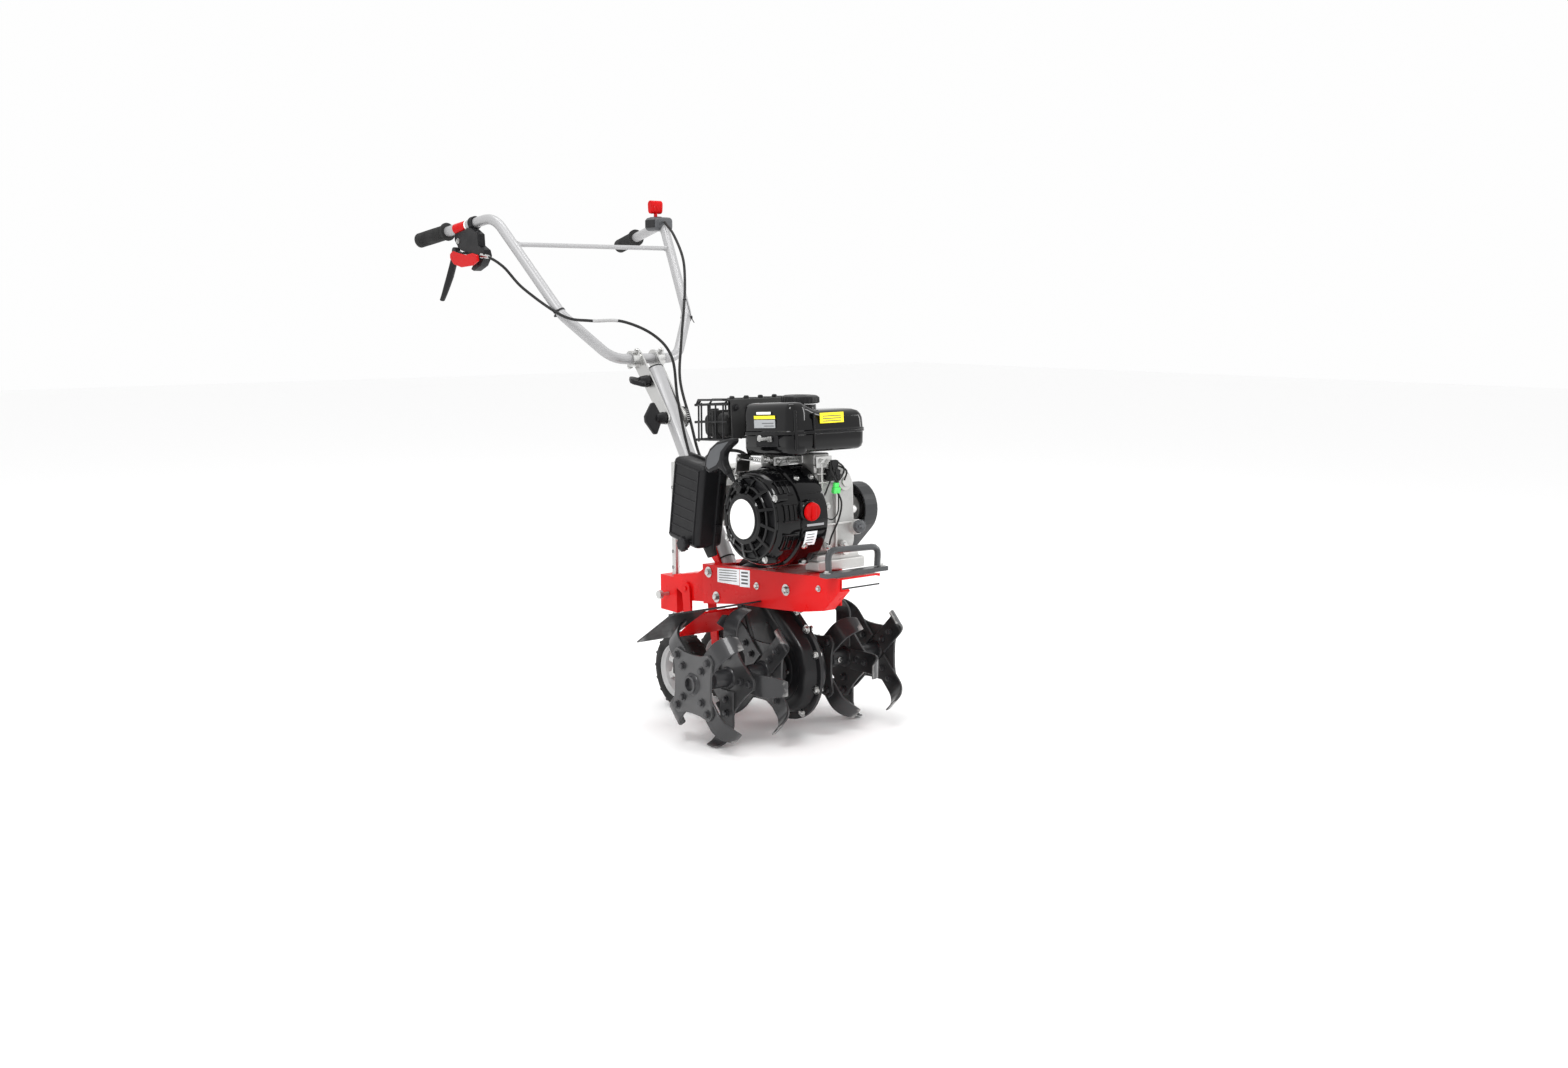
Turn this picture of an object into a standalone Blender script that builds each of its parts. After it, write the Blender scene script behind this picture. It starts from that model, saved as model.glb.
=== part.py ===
"""Walk-behind tiller: a small engine over a chain case, rotating tines, wheels and a handlebar.

Sizes below are millimetres: x across (the operator's left is +X), y towards the operator, z up.
The tine axle stands at y 0 here, and the root empty moves the whole machine forward so that
the origin is under the middle of the machine.
"""

import math

import bmesh
import bpy
from mathutils import Matrix, Vector

MM = 0.001
MACHINE_Y = -396.0
PITCH = -3.66

AXLE = (0.0, 130.0)
TINE_STATIONS = (62.0, 145.0, 228.0)
BLADE_WIDTH = 42.0
CRANK = (-45.0, 437.0)
INPUT = (100.0, 290.0)
IDLER = (45.0, 352.0)
ROLLER = (29.2, 377.3)
BELT_X = 126.0
CASE_TOP = (108.0, 275.0)
WHEEL = (278.0, 80.0)
WHEEL_PIVOT = (300.0, 245.0)
STAKE_Y = 381.0
COLUMN_FOOT = (190.0, 300.0)
COLUMN_TOP = (452.0, 695.0)
HEIGHT_PIVOT = (385.0, 593.7)
BAR_CENTRE = (487.0, 714.0)

for leftover in list(bpy.data.objects):
    bpy.data.objects.remove(leftover)

machine = bpy.data.objects.new("machine", None)
machine.location = (0.0, MACHINE_Y * MM, 0.0)
bpy.context.scene.collection.objects.link(machine)

PAINTS = {
    "red": ((0.62, 0.02, 0.015), 0.35, 0.0),
    "black": ((0.018, 0.018, 0.02), 0.4, 0.0),
    "gloss_black": ((0.012, 0.012, 0.014), 0.15, 0.0),
    "charcoal": ((0.05, 0.05, 0.055), 0.45, 0.3),
    "rubber": ((0.02, 0.02, 0.02), 0.8, 0.0),
    "zinc": ((0.62, 0.62, 0.6), 0.35, 1.0),
    "grey": ((0.5, 0.51, 0.53), 0.4, 0.4),
    "aluminium": ((0.6, 0.59, 0.57), 0.5, 0.9),
    "dark_plastic": ((0.08, 0.085, 0.09), 0.5, 0.0),
}


def finish(obj, paint):
    colour, roughness, metallic = PAINTS[paint]
    material = bpy.data.materials.new(obj.name)
    material.use_nodes = True
    shader = material.node_tree.nodes["Principled BSDF"]
    shader.inputs["Base Color"].default_value = (*colour, 1.0)
    shader.inputs["Roughness"].default_value = roughness
    shader.inputs["Metallic"].default_value = metallic
    obj.data.materials.append(material)


def add(name, data):
    obj = bpy.data.objects.new(name, data)
    bpy.context.scene.collection.objects.link(obj)
    obj.parent = machine
    return obj


def add_mesh(name, bm, smooth=False):
    bmesh.ops.remove_doubles(bm, verts=bm.verts, dist=1e-7)
    bmesh.ops.recalc_face_normals(bm, faces=bm.faces)
    if bm.calc_volume(signed=True) < 0:
        bmesh.ops.reverse_faces(bm, faces=bm.faces)
    mesh = bpy.data.meshes.new(name)
    bm.to_mesh(mesh)
    bm.free()
    obj = add(name, mesh)
    if smooth:
        for polygon in mesh.polygons:
            polygon.use_smooth = len(polygon.vertices) == 4
    return obj


def box(name, x, y, z, pitch=0.0):
    """A block between two x, two y and two z values, tilted about its own centre by pitch degrees."""
    bm = bmesh.new()
    bmesh.ops.create_cube(bm, size=1.0)
    size = Vector((x[1] - x[0], y[1] - y[0], z[1] - z[0])) * MM
    centre = Vector((x[0] + x[1], y[0] + y[1], z[0] + z[1])) * MM / 2
    turn = Matrix.Rotation(math.radians(pitch), 4, "X")
    bmesh.ops.transform(
        bm, matrix=Matrix.Translation(centre) @ turn @ Matrix.Diagonal((*size, 1.0)), verts=bm.verts
    )
    return add_mesh(name, bm)


def prism(name, outline, x0, x1):
    """A side outline of (y, z) points carried across from x0 to x1."""
    bm = bmesh.new()
    near = [bm.verts.new((x0 * MM, y * MM, z * MM)) for y, z in outline]
    far = [bm.verts.new((x1 * MM, y * MM, z * MM)) for y, z in outline]
    bm.faces.new(near)
    bm.faces.new(far[::-1])
    for i in range(len(outline)):
        j = (i + 1) % len(outline)
        bm.faces.new((near[i], far[i], far[j], near[j]))
    return add_mesh(name, bm)


def hull(circles, steps=28):
    """The outline of a band stretched round circles given as (y, z, radius)."""
    points = []
    for y, z, r in circles:
        for i in range(steps):
            a = math.tau * i / steps
            points.append((y + r * math.cos(a), z + r * math.sin(a)))
    points = sorted(set(points))

    def half(run):
        kept = []
        for p in run:
            while len(kept) > 1:
                (ay, az), (by, bz) = kept[-2], kept[-1]
                if (by - ay) * (p[1] - az) - (bz - az) * (p[0] - ay) > 1e-6:
                    break
                kept.pop()
            kept.append(p)
        return kept[:-1]

    return half(points) + half(points[::-1])


def lathe(name, profile, centre, steps=28, smooth=True):
    """A closed profile of (x, radius) points turned about the X axis through centre (y, z)."""
    bm = bmesh.new()
    rings = []
    for x, r in profile:
        if r <= 0:
            rings.append([bm.verts.new((x * MM, centre[0] * MM, centre[1] * MM))] * steps)
            continue
        ring = []
        for i in range(steps):
            a = math.tau * i / steps
            y = centre[0] + r * math.cos(a)
            z = centre[1] + r * math.sin(a)
            ring.append(bm.verts.new((x * MM, y * MM, z * MM)))
        rings.append(ring)
    for k, ring in enumerate(rings):
        after = rings[(k + 1) % len(rings)]
        if profile[k][1] <= 0 and profile[(k + 1) % len(rings)][1] <= 0:
            continue
        for i in range(steps):
            j = (i + 1) % steps
            corners = []
            for vert in (ring[i], ring[j], after[j], after[i]):
                if vert not in corners:
                    corners.append(vert)
            bm.faces.new(corners)
    return add_mesh(name, bm, smooth)


def rod(name, start, end, radius, bore=0.0, steps=16, end_radius=None):
    """A round bar or tube between two points in space."""
    a = Vector(start) * MM
    b = Vector(end) * MM
    turn = (b - a).to_track_quat("X", "Z").to_matrix().to_4x4()
    length = (b - a).length / MM
    last = radius if end_radius is None else end_radius
    if bore:
        profile = [(0, bore), (0, radius), (length, last), (length, bore)]
    else:
        profile = [(0, 0), (0, radius), (length, last), (length, 0)]
    obj = lathe(name, profile, (0.0, 0.0), steps)
    obj.data.transform(Matrix.Translation(a) @ turn)
    return obj


def tube(name, points, radius, resolution=2):
    """A bent tube along points in space, with closed ends."""
    curve = bpy.data.curves.new(name, "CURVE")
    curve.dimensions = "3D"
    curve.bevel_depth = radius * MM
    curve.bevel_resolution = resolution
    curve.use_fill_caps = True
    spline = curve.splines.new("POLY")
    spline.points.add(len(points) - 1)
    for knot, point in zip(spline.points, points):
        knot.co = (*(Vector(point) * MM), 1.0)
    spline.use_smooth = True
    return add(name, curve)


def meshed(curve_object):
    """The same tube as a mesh, in a form that cuts other meshes."""
    view = bpy.context.evaluated_depsgraph_get()
    mesh = bpy.data.meshes.new_from_object(curve_object.evaluated_get(view))
    bm = bmesh.new()
    bm.from_mesh(mesh)
    bpy.data.objects.remove(curve_object)
    return add_mesh("cutting_tube", bm)


def rounded(points, radius, steps=5):
    """A path through corner points with each inner corner turned on an arc."""
    path = [Vector(points[0])]
    for before, corner, after in zip(points, points[1:], points[2:]):
        p, c, q = Vector(before), Vector(corner), Vector(after)
        u = (p - c).normalized()
        v = (q - c).normalized()
        half = u.angle(v) / 2
        reach = min(radius / math.tan(half), (p - c).length * 0.45, (q - c).length * 0.45)
        start, end = c + u * reach, c + v * reach
        for i in range(steps + 1):
            t = i / steps
            path.append(start * (1 - t) ** 2 + c * 2 * t * (1 - t) + end * t**2)
    path.append(Vector(points[-1]))
    return path


def smooth_path(points, spacing):
    """A Catmull-Rom curve through points, sampled every spacing millimetres."""
    knots = [Vector(p) for p in points]
    knots = [knots[0] * 2 - knots[1], *knots, knots[-1] * 2 - knots[-2]]
    path = []
    for p0, p1, p2, p3 in zip(knots, knots[1:], knots[2:], knots[3:]):
        count = max(2, round((p2 - p1).length / spacing))
        for i in range(count):
            t = i / count
            path.append(
                0.5 * (2 * p1 + (p2 - p0) * t + (2 * p0 - 5 * p1 + 4 * p2 - p3) * t**2
                       + (3 * p1 - p0 - 3 * p2 + p3) * t**3)
            )
    path.append(knots[-2])
    return path


def boolean(target, other, operation):
    modifier = target.modifiers.new(other.name, "BOOLEAN")
    modifier.operation = operation
    modifier.object = other
    other.hide_render = True
    other.display_type = "WIRE"


def join(target, *others):
    for other in others:
        boolean(target, other, "UNION")


def cut(target, *others):
    for other in others:
        boolean(target, other, "DIFFERENCE")


def hole(name, centre, radius, x0, x1, steps=20):
    return lathe(name, [(x0, 0), (x0, radius), (x1, radius), (x1, 0)], centre, steps)


def set_origin(obj, x, centre):
    """Moves the object's own origin onto a joint's axis without moving its shape."""
    origin = Vector((x, *centre)) * MM
    if obj.type == "CURVE":
        for knot in obj.data.splines[0].points:
            knot.co = (*(knot.co.xyz - origin), 1.0)
    else:
        obj.data.transform(Matrix.Translation(-origin))
    obj.location = origin


# Frame

frame = prism(
    "frame_channel",
    [(215, 310), (-207, 337), (-206, 312), (-163, 271), (-96, 259), (-36, 254), (95, 245), (213, 229)],
    -50, 50,
)
cut(
    frame,
    prism("cut_channel", [(260, 304.1), (-240, 336), (-240, 150), (260, 150)], -47, 47),
    box("cut_far_front", (40, 60), (-240, -100), (230, 332)),
)
joggle = prism(
    "joggle", [(209, 310.4), (215, 310), (262, 283), (349.7, 268), (349.7, 246), (296, 220), (209, 229.5)], -28, 28
)
cut(joggle, prism("cut_joggle", [(200, 305), (262, 279), (360, 263), (360, 150), (200, 150)], -25, 25))
bulkhead = box("bulkhead", (-48, 48), (209, 212.5), (231, 309))
cut(bulkhead, box("cut_bulkhead", (-25, 25), (200, 220), (200, 300)))
lip = prism("front_lip", [(-206.5, 312), (-163.5, 271), (-160, 274), (-203, 315)], -49, -23)
join(frame, bulkhead, joggle, lip)
cut(
    frame,
    box("case_slot", (-31, 31), (46, 170), (250, 340)),
    rod("column_hole", (0, 170, 270), (0, 250, 390.5), 17.4, steps=24),
    hole("input_hole", INPUT, 12, 40, 60),
    hole("wheel_pivot_hole", WHEEL_PIVOT, 5.3, -40, 40),
)
join(frame, prism("column_ear", [(192, 310), (208, 309), (262, 354), (268, 392), (246, 392), (216, 349)], -23, -17.6))
finish(frame, "red")

hitch = box("rear_hitch", (-20, 20), (350.2, 410), (185, 260))
cut(hitch, box("cut_hitch", (-16.5, 16.5), (355, 395), (180, 254)))
cut(hitch, rod("stake_hole", (0, STAKE_Y, 150), (0, STAKE_Y, 300), 8.4, steps=24))
cut(hitch, rod("plunger_hole", (-30, STAKE_Y, 222), (0, STAKE_Y, 222), 4.3))
finish(hitch, "red")

guard = prism("rear_guard", [(163, 220), (243, 160.2), (243.5, 163.2), (165, 223.5)], -95, 95)
cut(guard, box("cut_guard_case", (-27, 27), (130, 166), (200, 240)))
finish(guard, "red")

for side, sign in (("near", -1), ("far", 1)):
    top = [(135, 232.5), (258, 158), (258, 161), (136, 235.7), (20, 264.2), (20, 261)]
    fender = prism("fender_" + side, top, sign * 52, sign * 255)
    corner = prism("cut_corner_" + side, [(-200, 300), (-200, 100), (0, 100), (0, 300)], 0, sign * 200)
    corner.data.transform(
        Matrix.Translation(Vector((sign * 182, 140, 0)) * MM) @ Matrix.Rotation(sign * math.radians(36), 4, "Z")
    )
    cut(fender, corner)
    cut(fender, prism("cut_tip_" + side, [(137, 280), (137, 100), (280, 100), (280, 280)], sign * 182, sign * 262))
    cut(fender, prism("cut_middle_" + side, [(137, 280), (137, 100), (280, 100), (280, 280)], sign * 30, sign * 98))
    finish(fender, "black")

bumper = box("bumper_bar", (-75, 75), (-202, -182), (338.8, 346.8))
finish(bumper, "charcoal")
loop = tube(
    "carry_loop",
    rounded([(-62, -192, 348.2), (-62, -190, 388), (60, -190, 384), (56, -192, 348.2)], 20, 4),
    6.0,
)
finish(loop, "charcoal")

# Chain case, chain drive and tines

case_outline = [(*AXLE, 103.0), (*CASE_TOP, 60.0)]
dish_outline = [(*AXLE, 89.0), (*CASE_TOP, 47.0)]
cavity_outline = [(*AXLE, 86.0), (*CASE_TOP, 44.0)]
for side, sign in (("near", -1), ("far", 1)):
    half = prism("chain_case_" + side, hull(case_outline), sign * 0.15, sign * 4)
    join(
        half,
        prism("dish_" + side, hull(dish_outline), sign * 0.15, sign * 27),
        hole("boss_" + side, AXLE, 30, sign * 26, sign * 39),
    )
    cut(half, prism("cavity_" + side, hull(cavity_outline), sign * -2, sign * 24))
    cut(half, hole("axle_bore_" + side, AXLE, 12.3, sign * 10, sign * 45, 32))
    if sign > 0:
        cut(half, hole("input_bore", INPUT, 8.3, 10, 45, 32))
    finish(half, "black")

chain = prism("drive_chain", hull([(*AXLE, 77.0), (*INPUT, 23.0)]), -4, 4)
cut(chain, prism("cut_chain", hull([(*AXLE, 70.5), (*INPUT, 18.0)]), -6, 6))
finish(chain, "zinc")

shaft = rod("tine_shaft", (-226, *AXLE), (226, *AXLE), 12, steps=24)
finish(shaft, "zinc")
set_origin(shaft, 0, AXLE)


def sprocket_outline(centre, root, teeth, height, turn=0.0):
    points = []
    for i in range(teeth):
        for part, r in ((0.0, root), (0.35, root), (0.5, root + height), (0.85, root + height * 0.6)):
            a = math.tau * (i + part + turn) / teeth
            points.append((centre[0] + r * math.cos(a), centre[1] + r * math.sin(a)))
    return points


big = prism("large_sprocket", sprocket_outline(AXLE, 65.5, 36, 4.5), -2.5, 2.5)
cut(big, hole("bore_large_sprocket", AXLE, 12.2, -5, 5))
finish(big, "zinc")
set_origin(big, 0, AXLE)


def blade(name, station, direction, angle):
    """A flat strip out along a plate that curls sideways to its tip."""
    line = [(22.0, 0.0), (86.0, 0.0), (101.0, 3.0), (114.0, 11.0), (122.5, 22.0), (127.5, 35.0)]
    inner = []
    outer = []
    for i, (r, s) in enumerate(line):
        before = Vector(line[max(i - 1, 0)])
        after = Vector(line[min(i + 1, len(line) - 1)])
        along = (after - before).normalized()
        normal = Vector((-along.y, along.x)) * 2.5
        inner.append((r - normal.x, s - normal.y))
        outer.append((r + normal.x, s + normal.y))
    bm = bmesh.new()
    sides = []
    for width in (-BLADE_WIDTH / 2, BLADE_WIDTH / 2):
        ring = []
        for r, s in inner + outer[::-1]:
            taper = 1.0 - 0.22 * max(0.0, s) / 35.0
            x = station + direction * (4.5 + s)
            ring.append(bm.verts.new((x * MM, width * taper * MM, r * MM)))
        sides.append(ring)
    count = len(sides[0])
    for ring in sides:
        for i in range(len(line) - 1):
            bm.faces.new((ring[i], ring[i + 1], ring[count - 2 - i], ring[count - 1 - i]))
    for i in range(count):
        j = (i + 1) % count
        bm.faces.new((sides[0][i], sides[0][j], sides[1][j], sides[1][i]))
    move = Matrix.Translation(Vector((0, *AXLE)) * MM) @ Matrix.Rotation(math.radians(angle), 4, "X")
    bmesh.ops.transform(bm, matrix=move, verts=bm.verts)
    return add_mesh(name, bm)


def tine_disc(name, station, tube_ends, angles, bends):
    sign = 1 if station > 0 else -1
    disc = box(name, (station - 2.5, station + 2.5), (-60, 60), (70, 190))
    disc.data.transform(
        Matrix.Translation(Vector((0, *AXLE)) * MM)
        @ Matrix.Rotation(math.radians(angles[0] + 45), 4, "X")
        @ Matrix.Translation(-Vector((0, *AXLE)) * MM)
    )
    join(disc, hole(name + "_tube", AXLE, 17, sign * tube_ends[0], sign * tube_ends[1]))
    for i, (angle, bend) in enumerate(zip(angles, bends)):
        join(disc, blade(f"{name}_blade_{i}", station, bend * sign, angle))
    cut(disc, hole(name + "_bore", AXLE, 12.3, -300, 300))
    finish(disc, "charcoal")
    set_origin(disc, station, AXLE)


for side, sign in (("near", -1), ("far", 1)):
    inner, middle, outer = TINE_STATIONS
    tine_disc("tine_inner_" + side, sign * inner, (41, 103), (45, 135, 225, 315), (1, 1, 1, 1))
    tine_disc("tine_middle_" + side, sign * middle, (103.4, 186), (0, 90, 180, 270), (-1, -1, 1, 1))
    tine_disc("tine_outer_" + side, sign * outer, (186.4, 238), (45, 135, 225, 315), (-1, -1, -1, -1))

def pulley(name, centre, groove, flange):
    profile = [
        (-8, 0), (-8, flange), (-4.8, flange), (-4.4, groove), (4.4, groove), (4.8, flange), (8, flange), (8, 0)
    ]
    return lathe(name, [(BELT_X + x, r) for x, r in profile], centre, 28)


input_shaft = rod("input_shaft", (-20, *INPUT), (138, *INPUT), 8, steps=24)
join(
    input_shaft,
    prism("small_sprocket", sprocket_outline(INPUT, 13.5, 9, 3.5), -2.5, 2.5),
    pulley("driven_pulley", INPUT, 32, 38),
)
finish(input_shaft, "zinc")
set_origin(input_shaft, 0, INPUT)

belt = prism("drive_belt", hull([(*CRANK, 26.5), (*INPUT, 38.5)], 36), BELT_X - 4.1, BELT_X + 4.1)
cut(belt, prism("cut_belt", hull([(*CRANK, 20.6), (*INPUT, 32.6)], 36), 100, 150))
finish(belt, "rubber")

idler = prism("idler_arm", hull([(*IDLER, 9), (*ROLLER, 8)], 16), 107, 111)
join(
    idler,
    hole("idler_pin", IDLER, 5, 95.4, 109),
    hole("idler_roller", ROLLER, 10, 110, 131),
)
finish(idler, "zinc")
set_origin(idler, 100, IDLER)

cover = prism("belt_cover", hull([(*CRANK, 50), (*INPUT, 43.5)], 30), 114, 144)
cut(cover, prism("cut_cover", hull([(*CRANK, 47), (*INPUT, 41)], 30), 100, 141))
finish(cover, "dark_plastic")

# Engine

crankcase = prism("crankcase", hull([(-70, 388, 38), (-66, 486, 38), (18, 500, 38), (20, 384, 38)], 48), -19, 95)
join(
    crankcase,
    box("base_front", (-18, 98), (-112, -70), (330.6, 362), PITCH),
    box("base_rear", (-18, 95), (20, 57), (322.2, 358), PITCH),
    box("tank_post", (-16, 22), (-99, 40), (470, 553), PITCH),
)
cut(
    crankcase,
    hole("crank_bore", CRANK, 9.4, -60, 110, 32),
    box("crank_room", (-8, 83), (-86, 36), (366, 503), PITCH),
    box("crank_mouth", (0, 74), (-76, 26), (330, 370), PITCH),
)
finish(crankcase, "aluminium")

crankshaft = rod("crankshaft", (-119, *CRANK), (137, *CRANK), 9, steps=24)
join(crankshaft, pulley("drive_pulley", CRANK, 20, 26.5))
finish(crankshaft, "zinc")
set_origin(crankshaft, 0, CRANK)

flywheel = lathe(
    "flywheel",
    [(-112, 9.2), (-112, 30), (-96, 34), (-96, 76), (-66, 76), (-66, 60), (-86, 56), (-86, 9.2)],
    CRANK, 24,
)
finish(flywheel, "aluminium")
set_origin(flywheel, -90, CRANK)

cylinder = box("cylinder", (-20, 55), (74, 180), (405, 495), 12)
for i in range(6):
    fin_y = 86 + i * 15.0
    join(cylinder, box(f"cylinder_fin_{i}", (-38, 72), (fin_y, fin_y + 5), (392, 512), 12))
join(cylinder, box("rocker_cover", (-22, 57), (172, 200), (418, 510), 12))
finish(cylinder, "aluminium")

housing = lathe(
    "blower_housing",
    [(-20.5, 91), (-20.5, 95), (-114, 95), (-125, 84), (-125, 62), (-122, 62), (-122, 83), (-113, 91)],
    CRANK, 32,
)
finish(housing, "gloss_black")

recoil = lathe(
    "recoil_cover",
    [(-125.4, 0), (-125.4, 79), (-134, 77), (-141, 68), (-144, 52), (-145, 40), (-145, 0)],
    CRANK, 32,
)
join(recoil, hole("recoil_badge", CRANK, 36.5, -148, -144, 40))
finish(recoil, "gloss_black")

handle = rod("recoil_grip", (-158, -36, 582), (-158, 44, 530), 10.5, steps=16)
join(handle, rod("grip_neck", (-158, 4, 556), (-158, -18, 520), 6))
finish(handle, "black")
set_origin(handle, -158, (-18, 520))

tank = box("fuel_tank", (-98, 86), (-128, 22), (556, 634), PITCH)
rise = box("tank_rise", (-98, -56), (-128, 22), (551, 649), PITCH)
for block in (tank, rise):
    bevel = block.modifiers.new("edges", "BEVEL")
    bevel.width = 14 * MM
    bevel.segments = 4
join(tank, rise, rod("tank_neck", (-17, -55, 628), (-17, -55, 646), 30, steps=24))
finish(tank, "gloss_black")

cap = rod("fuel_cap", (-17, -55, 646.3), (-17, -55, 661), 37, steps=32)
finish(cap, "black")
set_origin(cap, -17, (-55, 646.3))

muffler = box("muffler", (-104, 62), (62, 138), (574, 624), PITCH)
bevel = muffler.modifiers.new("edges", "BEVEL")
bevel.width = 16 * MM
bevel.segments = 3
join(
    muffler,
    box("muffler_seam", (-106, 66), (98, 102), (569, 629), PITCH),
    box("heat_shield", (-106, 24), (40, 43.5), (575, 652), PITCH),
    box("shield_tab", (-60, -20), (42, 70), (600, 612), PITCH),
)
finish(muffler, "black")

wires = rod("muffler_guard", (-114, 147, 569), (79, 147, 569), 2.5, steps=8)
for i, height in enumerate((569, 603, 636)):
    if i:
        join(wires, rod(f"guard_rear_{i}", (-114, 147, height), (79, 147, height), 2.5, steps=8))
    for x in (-111, 76):
        join(wires, rod(f"guard_side_{i}_{x}", (x, 148.3, height + 0.4), (x, 46, height + 6), 2.1, steps=7))
for x in (-105, -78, -40, -2, 36, 70):
    join(wires, rod(f"guard_post_{x}", (x, 147.4, 565), (x, 147.4, 640), 1.9, steps=7))
finish(wires, "black")

# Air filter and carburettor

filter_box = box("air_filter_box", (-150, -80), (84, 188), (366, 534), 9)
bevel = filter_box.modifiers.new("edges", "BEVEL")
bevel.width = 12 * MM
bevel.segments = 3
finish(filter_box, "black")

filter_knob = rod("filter_knob", (-150.6, 124, 372), (-163, 124, 372), 11, steps=10)
join(filter_knob, rod("filter_knob_cap", (-162, 124, 372), (-168, 124, 372), 14, steps=10))
finish(filter_knob, "black")
set_origin(filter_knob, -150.6, (124, 372))

carburettor = box("carburettor", (-79, -41), (100, 140), (435, 485), 9)
join(carburettor, rod("float_bowl", (-60, 120, 440), (-60, 122, 412), 16))
finish(carburettor, "aluminium")

# Small engine controls

switch = box("stop_switch", (-80, -50), (-152, -143), (440, 470), PITCH)
finish(switch, "red")
set_origin(switch, -65, (-147, 455))

oil_plug = rod("oil_plug", (78, -112.5, 411), (78, -126, 413), 12, steps=12)
finish(oil_plug, "dark_plastic")
set_origin(oil_plug, 78, (-112.5, 411))

fuel_tap = box("fuel_tap", (-105, -99.5), (-78, -34), (579, 587), PITCH)
finish(fuel_tap, "zinc")
set_origin(fuel_tap, -102, (-40, 583))

# Depth stake and transport wheels

stake = rod("depth_stake", (0, STAKE_Y, 152), (0, STAKE_Y, 500), 8, steps=20)
finish(stake, "zinc")
set_origin(stake, 0, (STAKE_Y, 222))

plunger = rod("stake_plunger", (-8.8, STAKE_Y, 222), (-42, STAKE_Y, 222), 4)
join(plunger, rod("plunger_head", (-38, STAKE_Y, 222), (-46, STAKE_Y, 222), 9))
finish(plunger, "zinc")
set_origin(plunger, -20, (STAKE_Y, 222))

bracket = prism("wheel_bracket", hull([(*WHEEL_PIVOT, 14), (*WHEEL, 10)], 24), -33.5, -29)
join(
    bracket,
    prism("bracket_far", hull([(*WHEEL_PIVOT, 14), (*WHEEL, 10)], 24), 29, 33.5),
    hole("bracket_pin", WHEEL_PIVOT, 5, -36, 36),
    hole("wheel_axle", WHEEL, 6, -79, 79),
)
finish(bracket, "red")
set_origin(bracket, 0, WHEEL_PIVOT)

for side, sign in (("near", -1), ("far", 1)):
    wheel = lathe(
        "wheel_" + side,
        [(sign * x, r) for x, r in (
            (36, 6.4), (36, 16), (46, 18), (46, 50), (36, 58), (36, 73), (42, 80),
            (70, 80), (76, 73), (76, 58), (66, 50), (66, 18), (76, 16), (76, 6.4)
        )],
        WHEEL, 28,
    )
    finish(wheel, "rubber")
    set_origin(wheel, sign * 55, WHEEL)

# Handle column, clamp and handlebar

column = rod("handle_column", (0, *COLUMN_FOOT), (0, *COLUMN_TOP), 17, 14.5, 28)
cut(column, hole("pivot_hole", HEIGHT_PIVOT, 5.3, -30, 30))
finish(column, "grey")

for side, sign in (("near", -1), ("far", 1)):
    plate = prism("clamp_plate_" + side, hull([(*HEIGHT_PIVOT, 14), (*BAR_CENTRE, 19)], 32), sign * 17.6, sign * 21.5)
    join(plate, hole("saddle_" + side, BAR_CENTRE, 17, sign * 20, sign * 40, 28))
    if sign > 0:
        join(plate, hole("serrated_disc", HEIGHT_PIVOT, 21, 21, 27, 32))
    cut(plate, hole("bar_bore_" + side, BAR_CENTRE, 11.4, -60, 60, 28))
    cut(plate, hole("bolt_bore_" + side, HEIGHT_PIVOT, 5.3, -60, 60))
    if sign < 0:
        cut(plate, hole("upper_bolt_bore", (445, 668), 4.4, -60, 0))
    finish(plate, "zinc")
    set_origin(plate, sign * 19, HEIGHT_PIVOT)

near_arm = [(-82, 487, 714), (-160, 560, 806), (-219, 735, 1014), (-265.8, 988, 972)]
far_arm = [(-x, y, z) for x, y, z in near_arm]
bar_path = rounded(near_arm[::-1] + far_arm, 60, 6)
handlebar = tube("handlebar", bar_path, 11.0, 3)
finish(handlebar, "grey")
set_origin(handlebar, 0, HEIGHT_PIVOT)

crossbar = rod("crossbar", (-189, 685, 955), (189, 685, 955), 5)
finish(crossbar, "grey")
set_origin(crossbar, 0, HEIGHT_PIVOT)

for side, sign in (("near", -1), ("far", 1)):
    front = Vector((sign * 248.2, 893, 987.8))
    back = Vector((sign * 267.1, 995, 970.9))
    grip = rod("grip_" + side, front, back, 16.5, steps=20)
    join(grip, rod("grip_flange_" + side, front, front.lerp(back, 0.05), 20, steps=20))
    cut(grip, rod("grip_bore_" + side, front.lerp(back, -0.05), front.lerp(back, 0.955), 11.6, steps=20))
    finish(grip, "rubber")
    set_origin(grip, 0, HEIGHT_PIVOT)

lever_bracket = box("lever_bracket", (-250, -226), (780, 866), (953, 998), 9)
cut(lever_bracket, meshed(tube("bracket_bore", bar_path, 11.5, 3)))
finish(lever_bracket, "black")
set_origin(lever_bracket, 0, HEIGHT_PIVOT)

LEVER_PIVOT = (862.0, 944.0)
lever = prism("clutch_lever", hull([(*LEVER_PIVOT, 8), (880, 905, 8)], 16), -250, -242)
join(
    lever,
    prism("lever_blade", hull([(880, 905, 8), (936, 838, 6)], 16), -253, -239),
    prism("lever_arm", hull([(*LEVER_PIVOT, 7), (838, 938, 5)], 16), -249, -243),
)
finish(lever, "black")
set_origin(lever, -246, LEVER_PIVOT)

lock = prism("lock_button", hull([(836, 921, 9), (790, 926, 7)], 16), -262, -254.5)
finish(lock, "red")
set_origin(lock, -258, (836, 921))

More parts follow.
